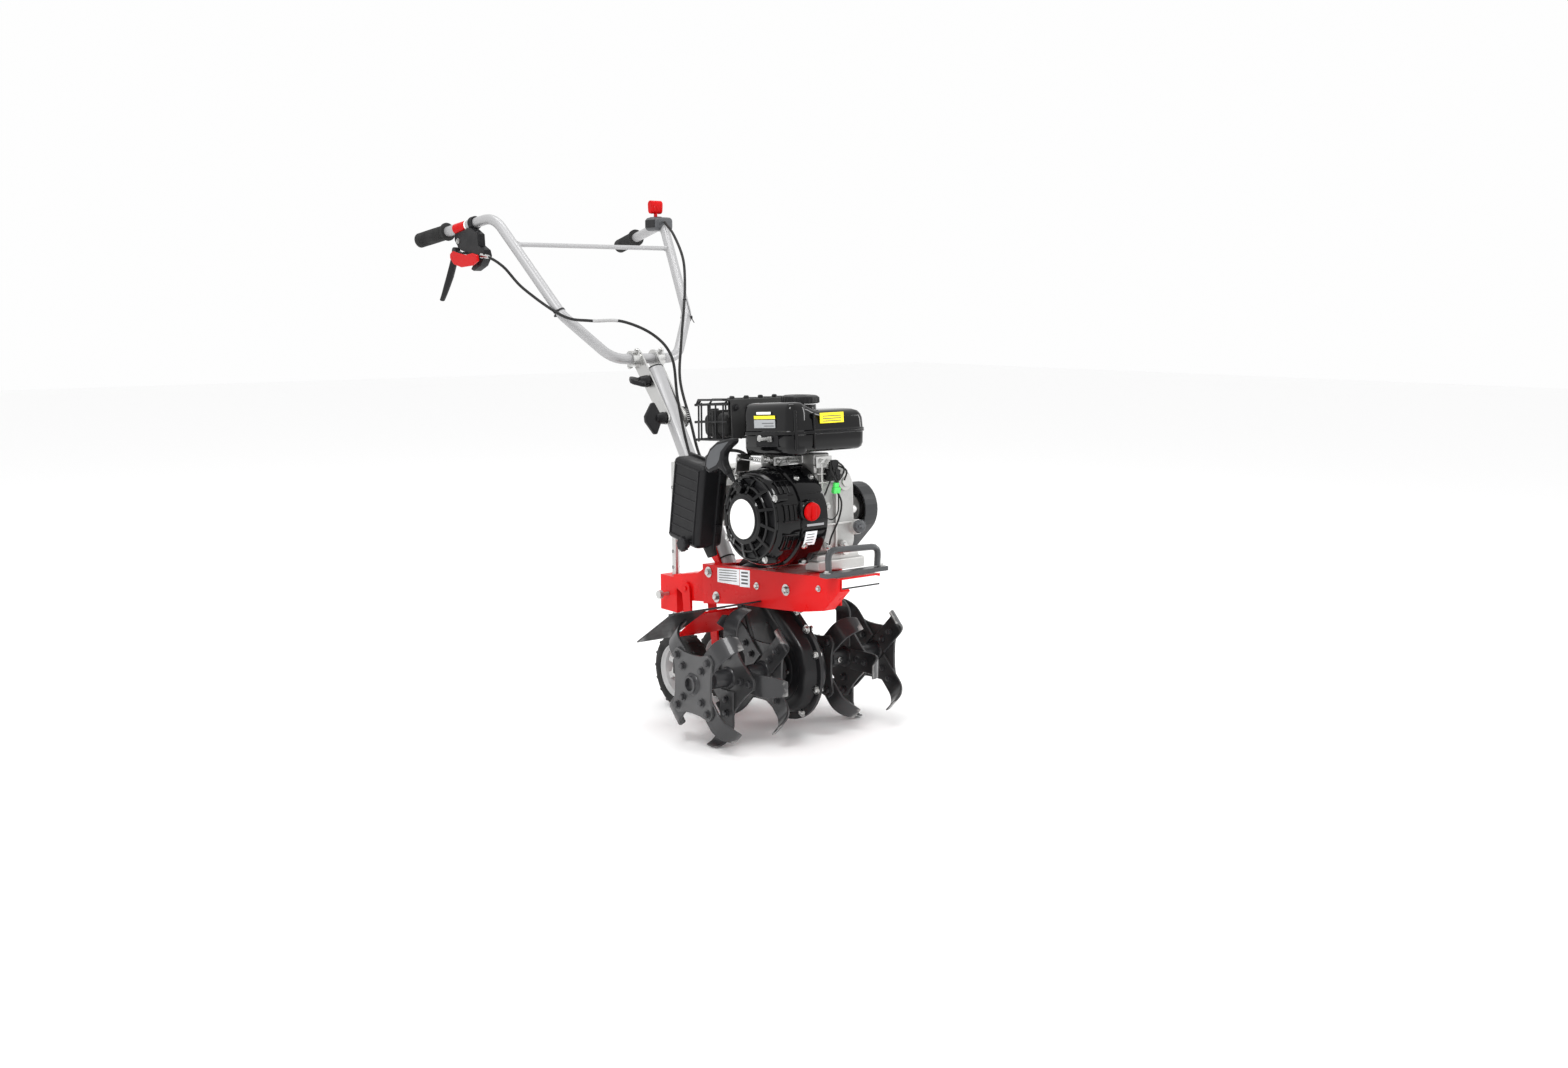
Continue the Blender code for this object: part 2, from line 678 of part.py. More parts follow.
throttle_housing = box("throttle_housing", (190, 240), (722, 772), (994, 1028))
cut(
    throttle_housing,
    meshed(tube("housing_bore", bar_path, 11.5, 3)),
    box("lever_slot", (202.6, 209.4), (728, 766), (1004, 1040)),
)
finish(throttle_housing, "grey")
set_origin(throttle_housing, 0, HEIGHT_PIVOT)

THROTTLE_PIVOT = (747.0, 1019.0)
throttle = prism("throttle_lever", hull([(*THROTTLE_PIVOT, 5), (747, 1046, 4)], 16), 203.5, 208.5)
join(throttle, prism("throttle_knob", hull([(747, 1044, 8), (747, 1057, 9)], 16), 190, 221))
finish(throttle, "red")
set_origin(throttle, 206, THROTTLE_PIVOT)

upper_knob = hole("upper_knob", (445, 668), 4, -34, -17.9, 16)
join(
    upper_knob,
    hole("upper_knob_hub", (445, 668), 12, -46, -22.2, 20),
    prism("upper_knob_wing", hull([(425, 668, 6), (465, 668, 6)], 16), -56, -40),
)
finish(upper_knob, "black")
set_origin(upper_knob, -30, (445, 668))

lower_knob = hole("pivot_knob", HEIGHT_PIVOT, 5, -34, 33, 16)
pivot_y, pivot_z = HEIGHT_PIVOT
join(
    lower_knob,
    hole("pivot_knob_hub", HEIGHT_PIVOT, 12, -46, -22.2, 20),
    prism("pivot_knob_wing", hull([(pivot_y, pivot_z - 22, 6), (pivot_y, pivot_z + 22, 6)], 16), -56, -40),
    hole("pivot_nut", HEIGHT_PIVOT, 9, 27.5, 35, 6),
)
finish(lower_knob, "black")
set_origin(lower_knob, -30, HEIGHT_PIVOT)

# Control cables

clutch_cable = tube(
    "clutch_cable",
    smooth_path(
        [(-243, 832, 940), (-243, 735, 931), (-225, 690, 908), (-204, 641, 861), (-170, 542, 805), (-150, 465, 795),
         (-110, 407, 794), (-58, 369, 766), (-38, 333, 720), (-30, 325, 634), (-28, 287, 524),
         (-24, 224, 440), (10, 205, 404), (60, 190, 388), (104, 120, 384), (110, 66, 392)],
        19,
    ),
    3.0,
)
finish(clutch_cable, "black")

throttle_cable = tube(
    "throttle_cable",
    smooth_path(
        [(212, 719, 1016), (196, 660, 985), (172, 590, 930), (150, 552, 871), (118, 512, 816), (75, 462, 742),
         (46, 425, 668), (30, 366, 586), (28, 330, 515), (30, 270, 450), (20, 220, 400),
         (-20, 205, 392), (-60, 190, 420), (-72, 152, 450)],
        19,
    ),
    3.0,
)
finish(throttle_cable, "black")
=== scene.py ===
"""Looks for the walk-behind tiller: procedural materials and detailed visible pieces round the CAD frame.

Lengths are millimetres in the maker's own frame, with the tine axle at y 0, and at() turns them
into the row's metres.
"""

from math import acos, atan2, cos, hypot, pi, radians, sin, tan, tau

import bmesh
import bpy
from mathutils import Matrix, Vector


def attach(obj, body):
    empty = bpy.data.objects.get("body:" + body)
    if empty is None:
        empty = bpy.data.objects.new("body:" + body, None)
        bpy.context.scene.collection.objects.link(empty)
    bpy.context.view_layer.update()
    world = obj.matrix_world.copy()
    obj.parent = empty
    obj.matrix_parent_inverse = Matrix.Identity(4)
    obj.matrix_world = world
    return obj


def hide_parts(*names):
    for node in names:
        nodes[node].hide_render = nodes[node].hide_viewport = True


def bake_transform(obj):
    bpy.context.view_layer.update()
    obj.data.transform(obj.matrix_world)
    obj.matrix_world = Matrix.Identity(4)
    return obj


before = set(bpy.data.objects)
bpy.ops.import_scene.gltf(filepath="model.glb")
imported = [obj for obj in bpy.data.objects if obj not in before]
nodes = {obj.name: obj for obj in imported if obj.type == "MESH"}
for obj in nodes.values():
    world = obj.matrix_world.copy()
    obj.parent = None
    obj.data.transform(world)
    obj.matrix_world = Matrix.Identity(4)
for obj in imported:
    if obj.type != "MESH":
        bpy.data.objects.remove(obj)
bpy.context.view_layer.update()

MM = 0.001
SHIFT_Y = -396.0  # from the maker's y to the row's
PITCH = -3.66  # slope of the deck and the engine on it, in degrees
DECK_Z = 325.0

AXLE = (0.0, 130.0)
CRANK = (-45.0, 437.0)
INPUT = (100.0, 290.0)
WHEEL = (278.0, 80.0)
HEIGHT_PIVOT = (385.0, 593.7)
CASE_CIRCLES = ((0.0, 130.0, 103.0), (108.0, 275.0, 60.0))
TINE_STATIONS = (62.0, 145.0, 228.0)
SIDES = (("near", -1), ("far", 1))
TANK_PIVOT = (-6, -53, 595)
CAP_CENTRE = (-17, -55)
FILTER_PIVOT = (-115, 136, 450)
FILTER_TILT = 9.0
FILTER_NUT = (124, 372)
OIL_PLUG = (78, 411.8)
FRONT_BOSSES = ((2, 380), (2, 455), (44, 380))
STAKE_Y = 381.0
BAR_RADIUS = 11.0
COAT_ROUGHNESS = 0.06


def at(x, y, z):
    """A point of the maker's frame, in the row's metres."""
    return Vector((x * MM, (y + SHIFT_Y) * MM, z * MM))


# Materials


def set_inputs(node, **values):
    """Sets the inputs whose names, in lower case and with underscores, are given."""
    for key, value in values.items():
        node.inputs[key.replace("_", " ").title()].default_value = value


class Paint:
    """A Principled material whose colour, roughness and bump come from procedural nodes."""

    def __init__(self, name, colour, roughness, metallic=0.0, coat=0.0, specular=0.3):
        self.material = bpy.data.materials.new(name)
        self.material.use_nodes = True
        self.tree = self.material.node_tree
        self.shader = self.tree.nodes["Principled BSDF"]
        set_inputs(self.shader, base_color=(*colour, 1.0), roughness=roughness, metallic=metallic,
                   coat_weight=coat, coat_roughness=COAT_ROUGHNESS)
        self.shader.inputs["Specular IOR Level"].default_value = specular
        self.place = self.node("TexCoord").outputs["Object"]
        self.bump_out = None

    def node(self, kind, operation=None, **values):
        node = self.tree.nodes.new("ShaderNode" + kind)
        if operation:
            node.operation = operation
        set_inputs(node, **values)
        return node

    def join(self, source, socket):
        self.tree.links.new(source, socket)

    def noise(self, scale, detail=3.0):
        node = self.node("TexNoise", scale=scale, detail=detail)
        self.join(self.place, node.inputs["Vector"])
        return node.outputs["Fac"]

    def ramp(self, source, low, high, out_low, out_high):
        """Maps low to high onto out_low to out_high, and clamps."""
        node = self.node("MapRange", from_min=low, from_max=high, to_min=out_low, to_max=out_high)
        self.join(source, node.inputs["Value"])
        return node.outputs["Result"]

    def tint(self, source, other):
        """Mixes the colour so far towards another by a 0 to 1 value."""
        mix = self.node("Mix")
        mix.data_type = "RGBA"
        socket = self.shader.inputs["Base Color"]
        if socket.links:
            self.join(socket.links[0].from_socket, mix.inputs["A"])
        else:
            mix.inputs["A"].default_value = socket.default_value
        mix.inputs["B"].default_value = (*other, 1.0)
        self.join(source, mix.inputs["Factor"])
        self.join(mix.outputs["Result"], socket)

    def rough(self, source):
        self.join(source, self.shader.inputs["Roughness"])

    def bump(self, source, strength, distance):
        node = self.node("Bump", strength=strength, distance=distance)
        self.join(source, node.inputs["Height"])
        if self.bump_out:
            self.join(self.bump_out, node.inputs["Normal"])
        self.bump_out = node.outputs["Normal"]
        self.join(self.bump_out, self.shader.inputs["Normal"])

    def edges(self, amount, other):
        """Wear or light dust along convex edges."""
        pointiness = self.node("NewGeometry").outputs["Pointiness"]
        self.tint(self.ramp(pointiness, 0.53, 0.6, 0.0, amount), other)


def painted(name, colour, roughness, coat=0.3, variation=0.12, metallic=0.0, specular=0.3, wear=0.35):
    paint = Paint(name, colour, roughness, metallic, coat, specular)
    fine = paint.noise(240.0, 4.0)
    broad = paint.noise(9.0, 3.0)
    paint.tint(paint.ramp(broad, 0.35, 0.75, 0.0, variation), tuple(c * 0.55 for c in colour))
    if wear:
        paint.edges(wear, tuple(min(1.0, c * 1.5 + 0.04) for c in colour))
    paint.rough(paint.ramp(paint.noise(30.0, 5.0), 0.3, 0.7, roughness * 0.8, roughness * 1.25))
    paint.bump(fine, 0.05, 0.0001)
    return paint.material


def metal(name, colour, roughness, bump, scale, dark=0.35):
    paint = Paint(name, colour, roughness, 1.0)
    grain = paint.noise(scale, 5.0)
    broad = paint.noise(14.0, 4.0)
    paint.tint(paint.ramp(broad, 0.4, 0.72, 0.0, dark), tuple(c * 0.5 for c in colour))
    paint.rough(paint.ramp(grain, 0.3, 0.7, roughness * 0.75, roughness * 1.35))
    paint.bump(grain, bump, 0.0003)
    return paint.material


def moulded(name, colour, roughness, grain=0.25, scale=700.0, coat=0.0, specular=0.3, wear=0.5):
    paint = Paint(name, colour, roughness, 0.0, coat, specular)
    fine = paint.noise(scale, 2.0)
    broad = paint.noise(12.0, 3.0)
    paint.tint(paint.ramp(broad, 0.35, 0.8, 0.0, 0.35), tuple(c * 1.4 + 0.002 for c in colour))
    paint.edges(wear, tuple(c * 1.6 + 0.01 for c in colour))
    paint.rough(paint.ramp(paint.noise(40.0, 4.0), 0.3, 0.7, roughness * 0.8, roughness * 1.25))
    paint.bump(fine, grain, 0.0002)
    return paint.material


def cast(name, colour):
    paint = Paint(name, colour, 0.5, 0.75)
    grain = paint.noise(420.0, 5.0)
    paint.tint(paint.ramp(paint.noise(22.0, 4.0), 0.4, 0.75, 0.0, 0.4), tuple(c * 0.55 for c in colour))
    paint.edges(0.6, (0.85, 0.84, 0.82))
    paint.rough(paint.ramp(grain, 0.3, 0.7, 0.38, 0.62))
    paint.bump(grain, 0.25, 0.0003)
    return paint.material


RED = painted("red_paint", (0.66, 0.002, 0.003), 0.3, 0.1, 0.15, specular=0.1, wear=0.15)
BLACK = painted("black_paint", (0.01, 0.01, 0.011), 0.34, 0.15, specular=0.2, wear=0.2)
MUFFLER = painted("heat_black", (0.02, 0.02, 0.02), 0.55, 0.0, 0.4)
TINE = painted("tine_paint", (0.016, 0.016, 0.018), 0.38, 0.35, 0.25)
BUMPER = painted("bumper_paint", (0.035, 0.037, 0.04), 0.34, 0.3)
GLOSS = painted("gloss_black", (0.003, 0.003, 0.0034), 0.09, 0.25, 0.05, specular=0.16, wear=0.04)
SILVER = painted("silver_tube", (0.4, 0.4, 0.405), 0.38, 0.0, 0.05, 0.25, wear=0)
ZINC = metal("zinc", (0.58, 0.58, 0.57), 0.34, bump=0.04, scale=60.0, dark=0.2)
BOLT = metal("bolt_zinc", (0.6, 0.6, 0.59), 0.26, scale=400.0, bump=0.08)
CAST = cast("cast_aluminium", (0.47, 0.47, 0.46))
PLASTIC = moulded("black_plastic", (0.009, 0.009, 0.01), 0.4, specular=0.2)
GREY_PLASTIC = moulded("grey_plastic", (0.075, 0.078, 0.083), 0.42)
CHARCOAL_PLASTIC = moulded("charcoal_plastic", (0.022, 0.023, 0.025), 0.42)
LIGHT_GREY = moulded("light_grey", (0.3, 0.31, 0.32), 0.4)
RUBBER = moulded("rubber", (0.014, 0.014, 0.014), 0.7, 0.5, 500.0)
RIM = painted("rim_paint", (0.5, 0.5, 0.5), 0.38, 0.1, 0.15)
RED_PLASTIC = moulded("red_plastic", (0.5, 0.002, 0.003), 0.34, 0.1, 500.0, 0.05, specular=0.1, wear=0.1)
WHITE = moulded("white_plastic", (0.82, 0.82, 0.8), 0.35, 0.1)
YELLOW = moulded("yellow_label", (0.86, 0.72, 0.02), 0.4, 0.05)
GREEN = moulded("green_plastic", (0.08, 0.62, 0.12), 0.35, 0.1)
SLEEVE = moulded("sleeve_white", (0.34, 0.34, 0.34), 0.4, 0.1)
LABEL = moulded("label_white", (0.74, 0.76, 0.78), 0.3, 0.05)


# Shapes

bm = bmesh.new()  # where the add_ functions put the shapes of the next piece


def link(name, data, paint=None):
    """Puts a new object into the scene."""
    if paint:
        data.materials.append(paint)
    obj = bpy.data.objects.new(name, data)
    bpy.context.scene.collection.objects.link(obj)
    return obj


def link_mesh(name, paint):
    """Makes an object of the shapes added so far and empties bm for the next one."""
    mesh = bpy.data.meshes.new(name)
    bm.to_mesh(mesh)
    bm.clear()
    return link(name, mesh, paint)


def finish(name, paint, body="frame", smooth=35, replaces=None, edge=None):
    """Makes the piece that rides on body; edge holds bevel()'s width, segments and angle."""
    bmesh.ops.remove_doubles(bm, verts=bm.verts, dist=1e-6)
    bmesh.ops.recalc_face_normals(bm, faces=bm.faces)
    obj = link_mesh(name, paint)
    obj.data.shade_smooth()
    obj.data.set_sharp_from_angle(angle=radians(smooth))
    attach(obj, body)
    if replaces:
        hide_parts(replaces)
    if edge:
        bevel(obj, *edge)


def bevel(obj, width, segments=2, angle=35):
    modifier = obj.modifiers.new("edges", "BEVEL")
    modifier.width = width * MM
    modifier.segments = segments
    modifier.limit_method = "ANGLE"
    modifier.angle_limit = radians(angle)
    modifier.harden_normals = True


def add_rod(start, end, radius, steps=16, end_radius=None):
    a, b = at(*start), at(*end)
    turn = (b - a).to_track_quat("Z", "Y").to_matrix().to_4x4()
    place = Matrix.Translation((a + b) / 2) @ turn
    last = radius if end_radius is None else end_radius
    bmesh.ops.create_cone(
        bm, cap_ends=True, segments=steps, radius1=radius * MM, radius2=last * MM,
        depth=(b - a).length, matrix=place,
    )


def add_box(x, y, z, pitch=0.0, about=None):
    """A box between two values along each axis, turned by pitch degrees about X."""
    size = Vector((x[1] - x[0], y[1] - y[0], z[1] - z[0])) * MM
    centre = at((x[0] + x[1]) / 2, (y[0] + y[1]) / 2, (z[0] + z[1]) / 2)
    pivot = at(*about) if about else centre
    spin = Matrix.Rotation(radians(pitch), 4, "X")
    place = Matrix.Translation(pivot) @ spin @ Matrix.Translation(centre - pivot)
    bmesh.ops.create_cube(bm, size=1.0, matrix=place @ Matrix.Diagonal((*size, 1.0)))


def join_loops(loops, closed=True):
    """Faces between neighbouring loops of vertices; closed joins the last loop to the first."""
    for here, after in zip(loops, loops[1:] + loops[:1] if closed else loops[1:]):
        for i in range(len(here)):
            j = (i + 1) % len(here)
            bm.faces.new((here[i], here[j], after[j], after[i]))


def add_loft(rings):
    """Faces between rings of points, with both ends closed."""
    made = [[bm.verts.new(at(*p)) for p in ring] for ring in rings]
    join_loops(made, closed=False)
    bm.faces.new(made[0][::-1])
    bm.faces.new(made[-1])


def add_lathe(profile, centre, steps=40, start=0.0, turn=tau):
    """A closed (x, radius) profile turned about the X axis through centre (y, z)."""
    whole = abs(turn - tau) < 1e-6
    rings = []
    for i in range(steps if whole else steps + 1):
        a = start + turn * i / steps
        y, z = cos(a), sin(a)
        rings.append([bm.verts.new(at(x, centre[0] + r * y, centre[1] + r * z)) for x, r in profile])
    join_loops(rings, closed=whole)
    if not whole:
        bm.faces.new(rings[0][::-1])
        bm.faces.new(rings[-1])


def add_turned(profile, start, end, steps=32):
    """A closed (distance, radius) profile turned about the line from start towards end."""
    a, b = at(*start), at(*end)
    turn = (b - a).to_track_quat("X", "Z").to_matrix()
    rings = []
    for i in range(steps):
        c, s = cos(tau * i / steps), sin(tau * i / steps)
        rings.append([bm.verts.new(a + turn @ (Vector((t, r * c, r * s)) * MM)) for t, r in profile])
    join_loops(rings)


def add_prism(outline, x0, x1):
    """A (y, z) outline from x0 to x1."""
    add_loft([[(x, y, z) for y, z in outline] for x in (x0, x1)])


def polar(centre, a, r, w=0.0):
    """The point r out from centre at angle a, and w to the side of that."""
    return (centre[0] + r * cos(a) - w * sin(a), centre[1] + r * sin(a) + w * cos(a))


def around(centre, radius, count, phase=0.0):
    """Points spaced evenly on a circle."""
    return [polar(centre, tau * i / count + phase, radius) for i in range(count)]


def direction_at(path, i):
    """The unit direction of a path at its point i."""
    return (Vector(path[min(i + 1, len(path) - 1)]) - Vector(path[max(i - 1, 0)])).normalized()


def hull(circles, steps=48):
    """The convex outline round circles given as (y, z, radius)."""
    points = sorted(p for y, z, r in circles for p in around((y, z), r, steps))

    def half(run):
        kept = []
        for p in run:
            while len(kept) > 1:
                (ay, az), (by, bz) = kept[-2], kept[-1]
                if (by - ay) * (p[1] - az) - (bz - az) * (p[0] - ay) > 1e-6:
                    break
                kept.pop()
            kept.append(p)
        return kept[:-1]

    return half(points) + half(points[::-1])


def add_bolt(place, axis, radius, height, washer=0.0):
    """A hexagon head with a washer and a chamfered top, standing on place along axis."""
    base = Vector(place)
    out = Vector(axis).normalized()
    if washer:
        add_rod(base, base + out * 1.2, washer, 24)
        base += out * 1.2
    add_rod(base, base + out * height * 0.8, radius, 6)
    add_rod(base + out * height * 0.8, base + out * height, radius * 0.93, 12, end_radius=radius * 0.7)


def sweep(name, points, radius, paint, body, resolution=4):
    """A round wire or tube along points."""
    curve = bpy.data.curves.new(name, "CURVE")
    curve.dimensions = "3D"
    curve.bevel_depth = radius * MM
    curve.bevel_resolution = resolution
    curve.use_fill_caps = True
    spline = curve.splines.new("POLY")
    spline.points.add(len(points) - 1)
    for knot, point in zip(spline.points, points):
        knot.co = (*at(*point), 1.0)
    spline.use_smooth = True
    obj = link(name, curve, paint)
    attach(obj, body)
    return obj


def smooth_path(points, spacing):
    """A smooth curve through points, read at about the spacing."""
    knots = [Vector(p) for p in points]
    knots = [knots[0] * 2 - knots[1], *knots, knots[-1] * 2 - knots[-2]]
    path = []
    for p0, p1, p2, p3 in zip(knots, knots[1:], knots[2:], knots[3:]):
        count = max(2, round((p2 - p1).length / spacing))
        for i in range(count):
            t = i / count
            path.append(
                0.5 * (2 * p1 + (p2 - p0) * t + (2 * p0 - 5 * p1 + 4 * p2 - p3) * t**2
                       + (3 * p1 - p0 - 3 * p2 + p3) * t**3)
            )
    path.append(knots[-2])
    return path


def rounded(points, radius, steps=8):
    """Straight runs between points with each corner turned on a bend."""
    path = [Vector(points[0])]
    for before, corner, after in zip(points, points[1:], points[2:]):
        p, c, q = Vector(before), Vector(corner), Vector(after)
        u, v = (p - c).normalized(), (q - c).normalized()
        reach = min(radius / tan(u.angle(v) / 2), (p - c).length * 0.45, (q - c).length * 0.45)
        start, end = c + u * reach, c + v * reach
        for i in range(steps + 1):
            t = i / steps
            path.append(start * (1 - t) ** 2 + c * 2 * t * (1 - t) + end * t**2)
    path.append(Vector(points[-1]))
    return path


def repaint(paint, *names, edge=0.0):
    """Gives CAD nodes their material and a small bevel."""
    for name in names:
        node = nodes[name]
        node.data.materials.clear()
        node.data.materials.append(paint)
        if edge:
            bevel(node, edge, 2, 40.0)


def pitched(x, y, z):
    """A point given as if the deck were level, turned with the deck above the tine axle."""
    a = radians(PITCH)
    up = z - DECK_Z
    return (x, y * cos(a) - up * sin(a), DECK_Z + y * sin(a) + up * cos(a))


# Frame, guards and bumper

repaint(RED, "frame_channel", "rear_hitch", "rear_guard", "wheel_bracket", edge=0.7)
repaint(BLACK, "fender_near", "fender_far", edge=0.8)
repaint(BUMPER, "bumper_bar", "carry_loop", edge=0.8)

for side, sign in SIDES:
    for y, z in ((194, 296), (168, 249), (-54, 295)):
        add_bolt((sign * 50, y, z), (sign, 0, 0), 6.5, 6, 11)
    add_bolt((sign * 50, 36, 290), (sign, 0, 0), 4.5, 4.4, 7)
    add_bolt((sign * 60, 215, 187), (0, 0.55, 0.83), 5, 4.5, 9)
    add_bolt((sign * 66, -192, 346.8), (0, 0, 1), 4.5, 4, 7)
add_bolt((-50, -150, 311), (-1, 0, 0), 4, 4, 6)
add_bolt((-23, 252, 378), (-1, 0, 0), 6.5, 6, 11)
for x in (-38, 88):
    for y, z in ((-92, 344), (42, 342)):
        add_bolt(pitched(x, y, z), (0, 0.06, 1), 6.5, 6, 10)
finish("frame_bolts", BOLT, "frame", 40)

add_prism([(164, 280), (164, 309), (91.5, 314.8), (91.5, 283)], -50.2, -50.5)
add_prism([(90, 281), (90, 315), (58, 317), (58, 283.5)], -50.2, -50.5)
finish("frame_labels", LABEL)

for drop in range(0, 25, 5):
    bar = ((158, 304.5), (158, 306), (100, 311), (100, 309.5))
    add_prism([(y, z - drop) for y, z in bar], -50.5, -50.7)
for drop in range(0, 28, 7):
    bar = ((85, 308), (85, 311.5), (64, 313), (64, 309.5))
    add_prism([(y, z - drop) for y, z in bar], -50.5, -50.7)
finish("frame_label_bars", GREY_PLASTIC)

# Chain case


def band(circles, grow, steps=40):
    """The outline of a belt round two circles, their radii changed by grow."""
    (y1, z1, r1), (y2, z2, r2) = circles
    lean = atan2(z2 - z1, y2 - y1)
    reach = acos((r1 - r2) / hypot(y2 - y1, z2 - z1))
    points = []
    for y, z, r, first, last in (
        (y1, z1, r1, lean + reach, lean + tau - reach), (y2, z2, r2, lean - reach, lean + reach),
    ):
        for i in range(steps):
            points.append(polar((y, z), first + (last - first) * i / (steps - 1), r + grow))
    return points


CASE_LAYERS = (
    (0.15, 0), (3.4, 0), (4.2, -1), (4.2, -12), (6, -13.5), (20, -17), (24.5, -20), (27, -25), (27, -38),
    (25.2, -40), (24.6, -44), (24.6, -47), (26.2, -50), (27, -54),
)
for side, sign in SIDES:
    add_loft([[(sign * x, *p) for p in band(CASE_CIRCLES, grow)] for x, grow in CASE_LAYERS])
    boss = ((24, 46), (29, 45), (31, 40), (32, 34), (38.6, 32), (39, 30), (39, 13), (24, 13))
    add_lathe([(sign * x, r) for x, r in boss], AXLE)
    finish("chain_case_shell_" + side, BLACK, "frame", 30, "chain_case_" + side)

rim_places = [polar(AXLE, radians(a), 94) for a in range(156, 400, 42)]
for y, z in rim_places + [(-60, 214), (30, 245), (-30, 246), (140, 205), (168, 262)]:
    add_bolt((-4.2, y, z), (-1, 0, 0), 6, 5, 9)
    add_bolt((4.2, y, z), (1, 0, 0), 6, 5, 0)
for y, z in around(AXLE, 37, 6):
    for side, sign in SIDES:
        add_bolt((sign * 31.5, y, z), (sign, 0, 0), 3.6, 3.4)
finish("case_bolts", BOLT, "frame", 40)

# Tines


def ground_blade(name, colour, worn_from, worn_to):
    """Black paint that the soil has rubbed to bare steel between two distances from the tine axle."""
    paint = Paint(name, colour, 0.38, 0.25, 0.3)
    across = paint.node("VectorMath", "MULTIPLY")
    across.inputs[1].default_value = (0.0, 1.0, 1.0)
    paint.join(paint.place, across.inputs[0])
    reach = paint.node("VectorMath", "DISTANCE")
    reach.inputs[1].default_value = (0.0, SHIFT_Y * MM, AXLE[1] * MM)
    paint.join(across.outputs[0], reach.inputs[0])
    uneven = paint.node("Math", "MULTIPLY_ADD")
    uneven.inputs[1].default_value = 0.012
    paint.join(paint.noise(60.0, 5.0), uneven.inputs[0])
    paint.join(reach.outputs["Value"], uneven.inputs[2])
    paint.tint(paint.ramp(uneven.outputs[0], worn_from, worn_to, 0.0, 0.8), (0.55, 0.54, 0.52))
    paint.edges(0.4, (0.2, 0.2, 0.2))
    paint.rough(paint.ramp(paint.noise(35.0, 5.0), 0.3, 0.7, 0.3, 0.46))
    paint.bump(paint.noise(220.0, 4.0), 0.15, 0.0002)
    return paint.material


BLADE = ground_blade("blade_paint", (0.016, 0.016, 0.018), 0.1335, 0.137)


def add_blade(station, direction, angle):
    """A bolted strip that leaves its plate flat and curls sideways to a ground, slanted tip."""
    centre = [(24.0, 0.0), (60.0, 0.0), (86.0, 0.0)]
    for i in range(1, 13):
        t = i / 12
        sideways = 36.0 * (1 - cos(t * 1.5)) / (1 - cos(1.5))
        centre.append((86.0 + 42.0 * sin(t * 1.38), sideways))
    turn = Matrix.Rotation(radians(angle), 3, "X")
    rings = []
    for i, (r, s) in enumerate(centre):
        along = direction_at(centre, i)
        normal = Vector((-along.y, along.x))
        bend = s / 36.0
        left, right = -21.0 + 3.0 * bend, 21.0 - 12.0 * bend**2
        thick = 2.5 * (1.0 - 0.45 * bend**3)
        ring = []
        inner = thick * 0.4
        section = ((left + 1, -thick), (left, -inner), (left, inner), (left + 1, thick),
                   (right - 1, thick), (right, inner), (right, -inner), (right - 1, -thick))
        for width, t in section:
            x = direction * (4.5 + s + normal.y * t)
            p = turn @ Vector((0, width, r + normal.x * t))
            ring.append((station + x, AXLE[0] + p.y, AXLE[1] + p.z))
        rings.append(ring)
    add_loft(rings)


def spoke(station, angle, r):
    """The point at radius r from the tine axle, angle degrees round from the top."""
    p = Matrix.Rotation(radians(angle), 3, "X") @ Vector((0, 0, r))
    return (station, AXLE[0] + p.y, AXLE[1] + p.z)


TINE_SETS = (
    ("inner", 0, (41, 103), (45, 135, 225, 315), (1, 1, 1, 1)),
    ("middle", 1, (103.4, 186), (0, 90, 180, 270), (-1, -1, 1, 1)),
    ("outer", 2, (186.4, 238), (45, 135, 225, 315), (-1, -1, -1, -1)),
)
for side, sign in SIDES:
    for name, which, ends, angles, bends in TINE_SETS:
        station = sign * TINE_STATIONS[which]
        corners = []
        for angle in angles:
            for turn, r in ((-45, 56), (-22, 62), (-7, 79), (0, 80), (7, 79), (22, 62)):
                corners.append(spoke(0, angle + turn, r)[1:])
        add_prism(corners, station - 2.5, station + 2.5)
        for angle, bend in zip(angles, bends):
            add_blade(station, bend * sign, angle)
        finish(f"tine_star_{name}_{side}", BLADE, "tine_rotor", 40,
               f"tine_{name}_{side}", (0.5, 1, 50))

        low, high = sorted((sign * ends[0], sign * ends[1]))
        tube = [(low, 12.4), (low, 16.5), (low + 0.7, 17), (high - 0.7, 17), (high, 16.5), (high, 12.4)]
        add_lathe(tube, AXLE, 32)
        for end in (-1, 1):
            fillet = ((0, 17), (0, 21.5), (1.5, 20.6), (3.6, 18), (4, 17))
            weld = [(station + end * (2.5 + x), r) for x, r in fillet]
            add_lathe(weld if end > 0 else weld[::-1], AXLE, 32)
        finish(f"tine_hub_{name}_{side}", TINE, "tine_rotor", 40)

        for angle, bend in zip(angles, bends):
            out = bend * sign
            for r in (42, 68):
                add_bolt(spoke(station + out * 7, angle, r), (out, 0, 0), 5.6, 5.2, 8)
                add_bolt(spoke(station - out * 2.5, angle, r), (-out, 0, 0), 6.4, 6, 9)
        finish(f"tine_bolts_{name}_{side}", TINE, "tine_rotor", 40)
repaint(TINE, "tine_shaft")
repaint(ZINC, "large_sprocket", "input_shaft", "crankshaft", "drive_chain", "idler_arm")
repaint(RUBBER, "drive_belt")

for side, sign in SIDES:
    add_rod((sign * 115, -22, 130), (sign * 115, 22, 130), 4, 12)
    for y in (-21, 21):
        add_bolt((sign * 115, y * 0.8, 130), (0, 1 if y > 0 else -1, 0), 6, 5)
finish("hub_pins", BOLT, "tine_rotor", 40)

# Transport wheels

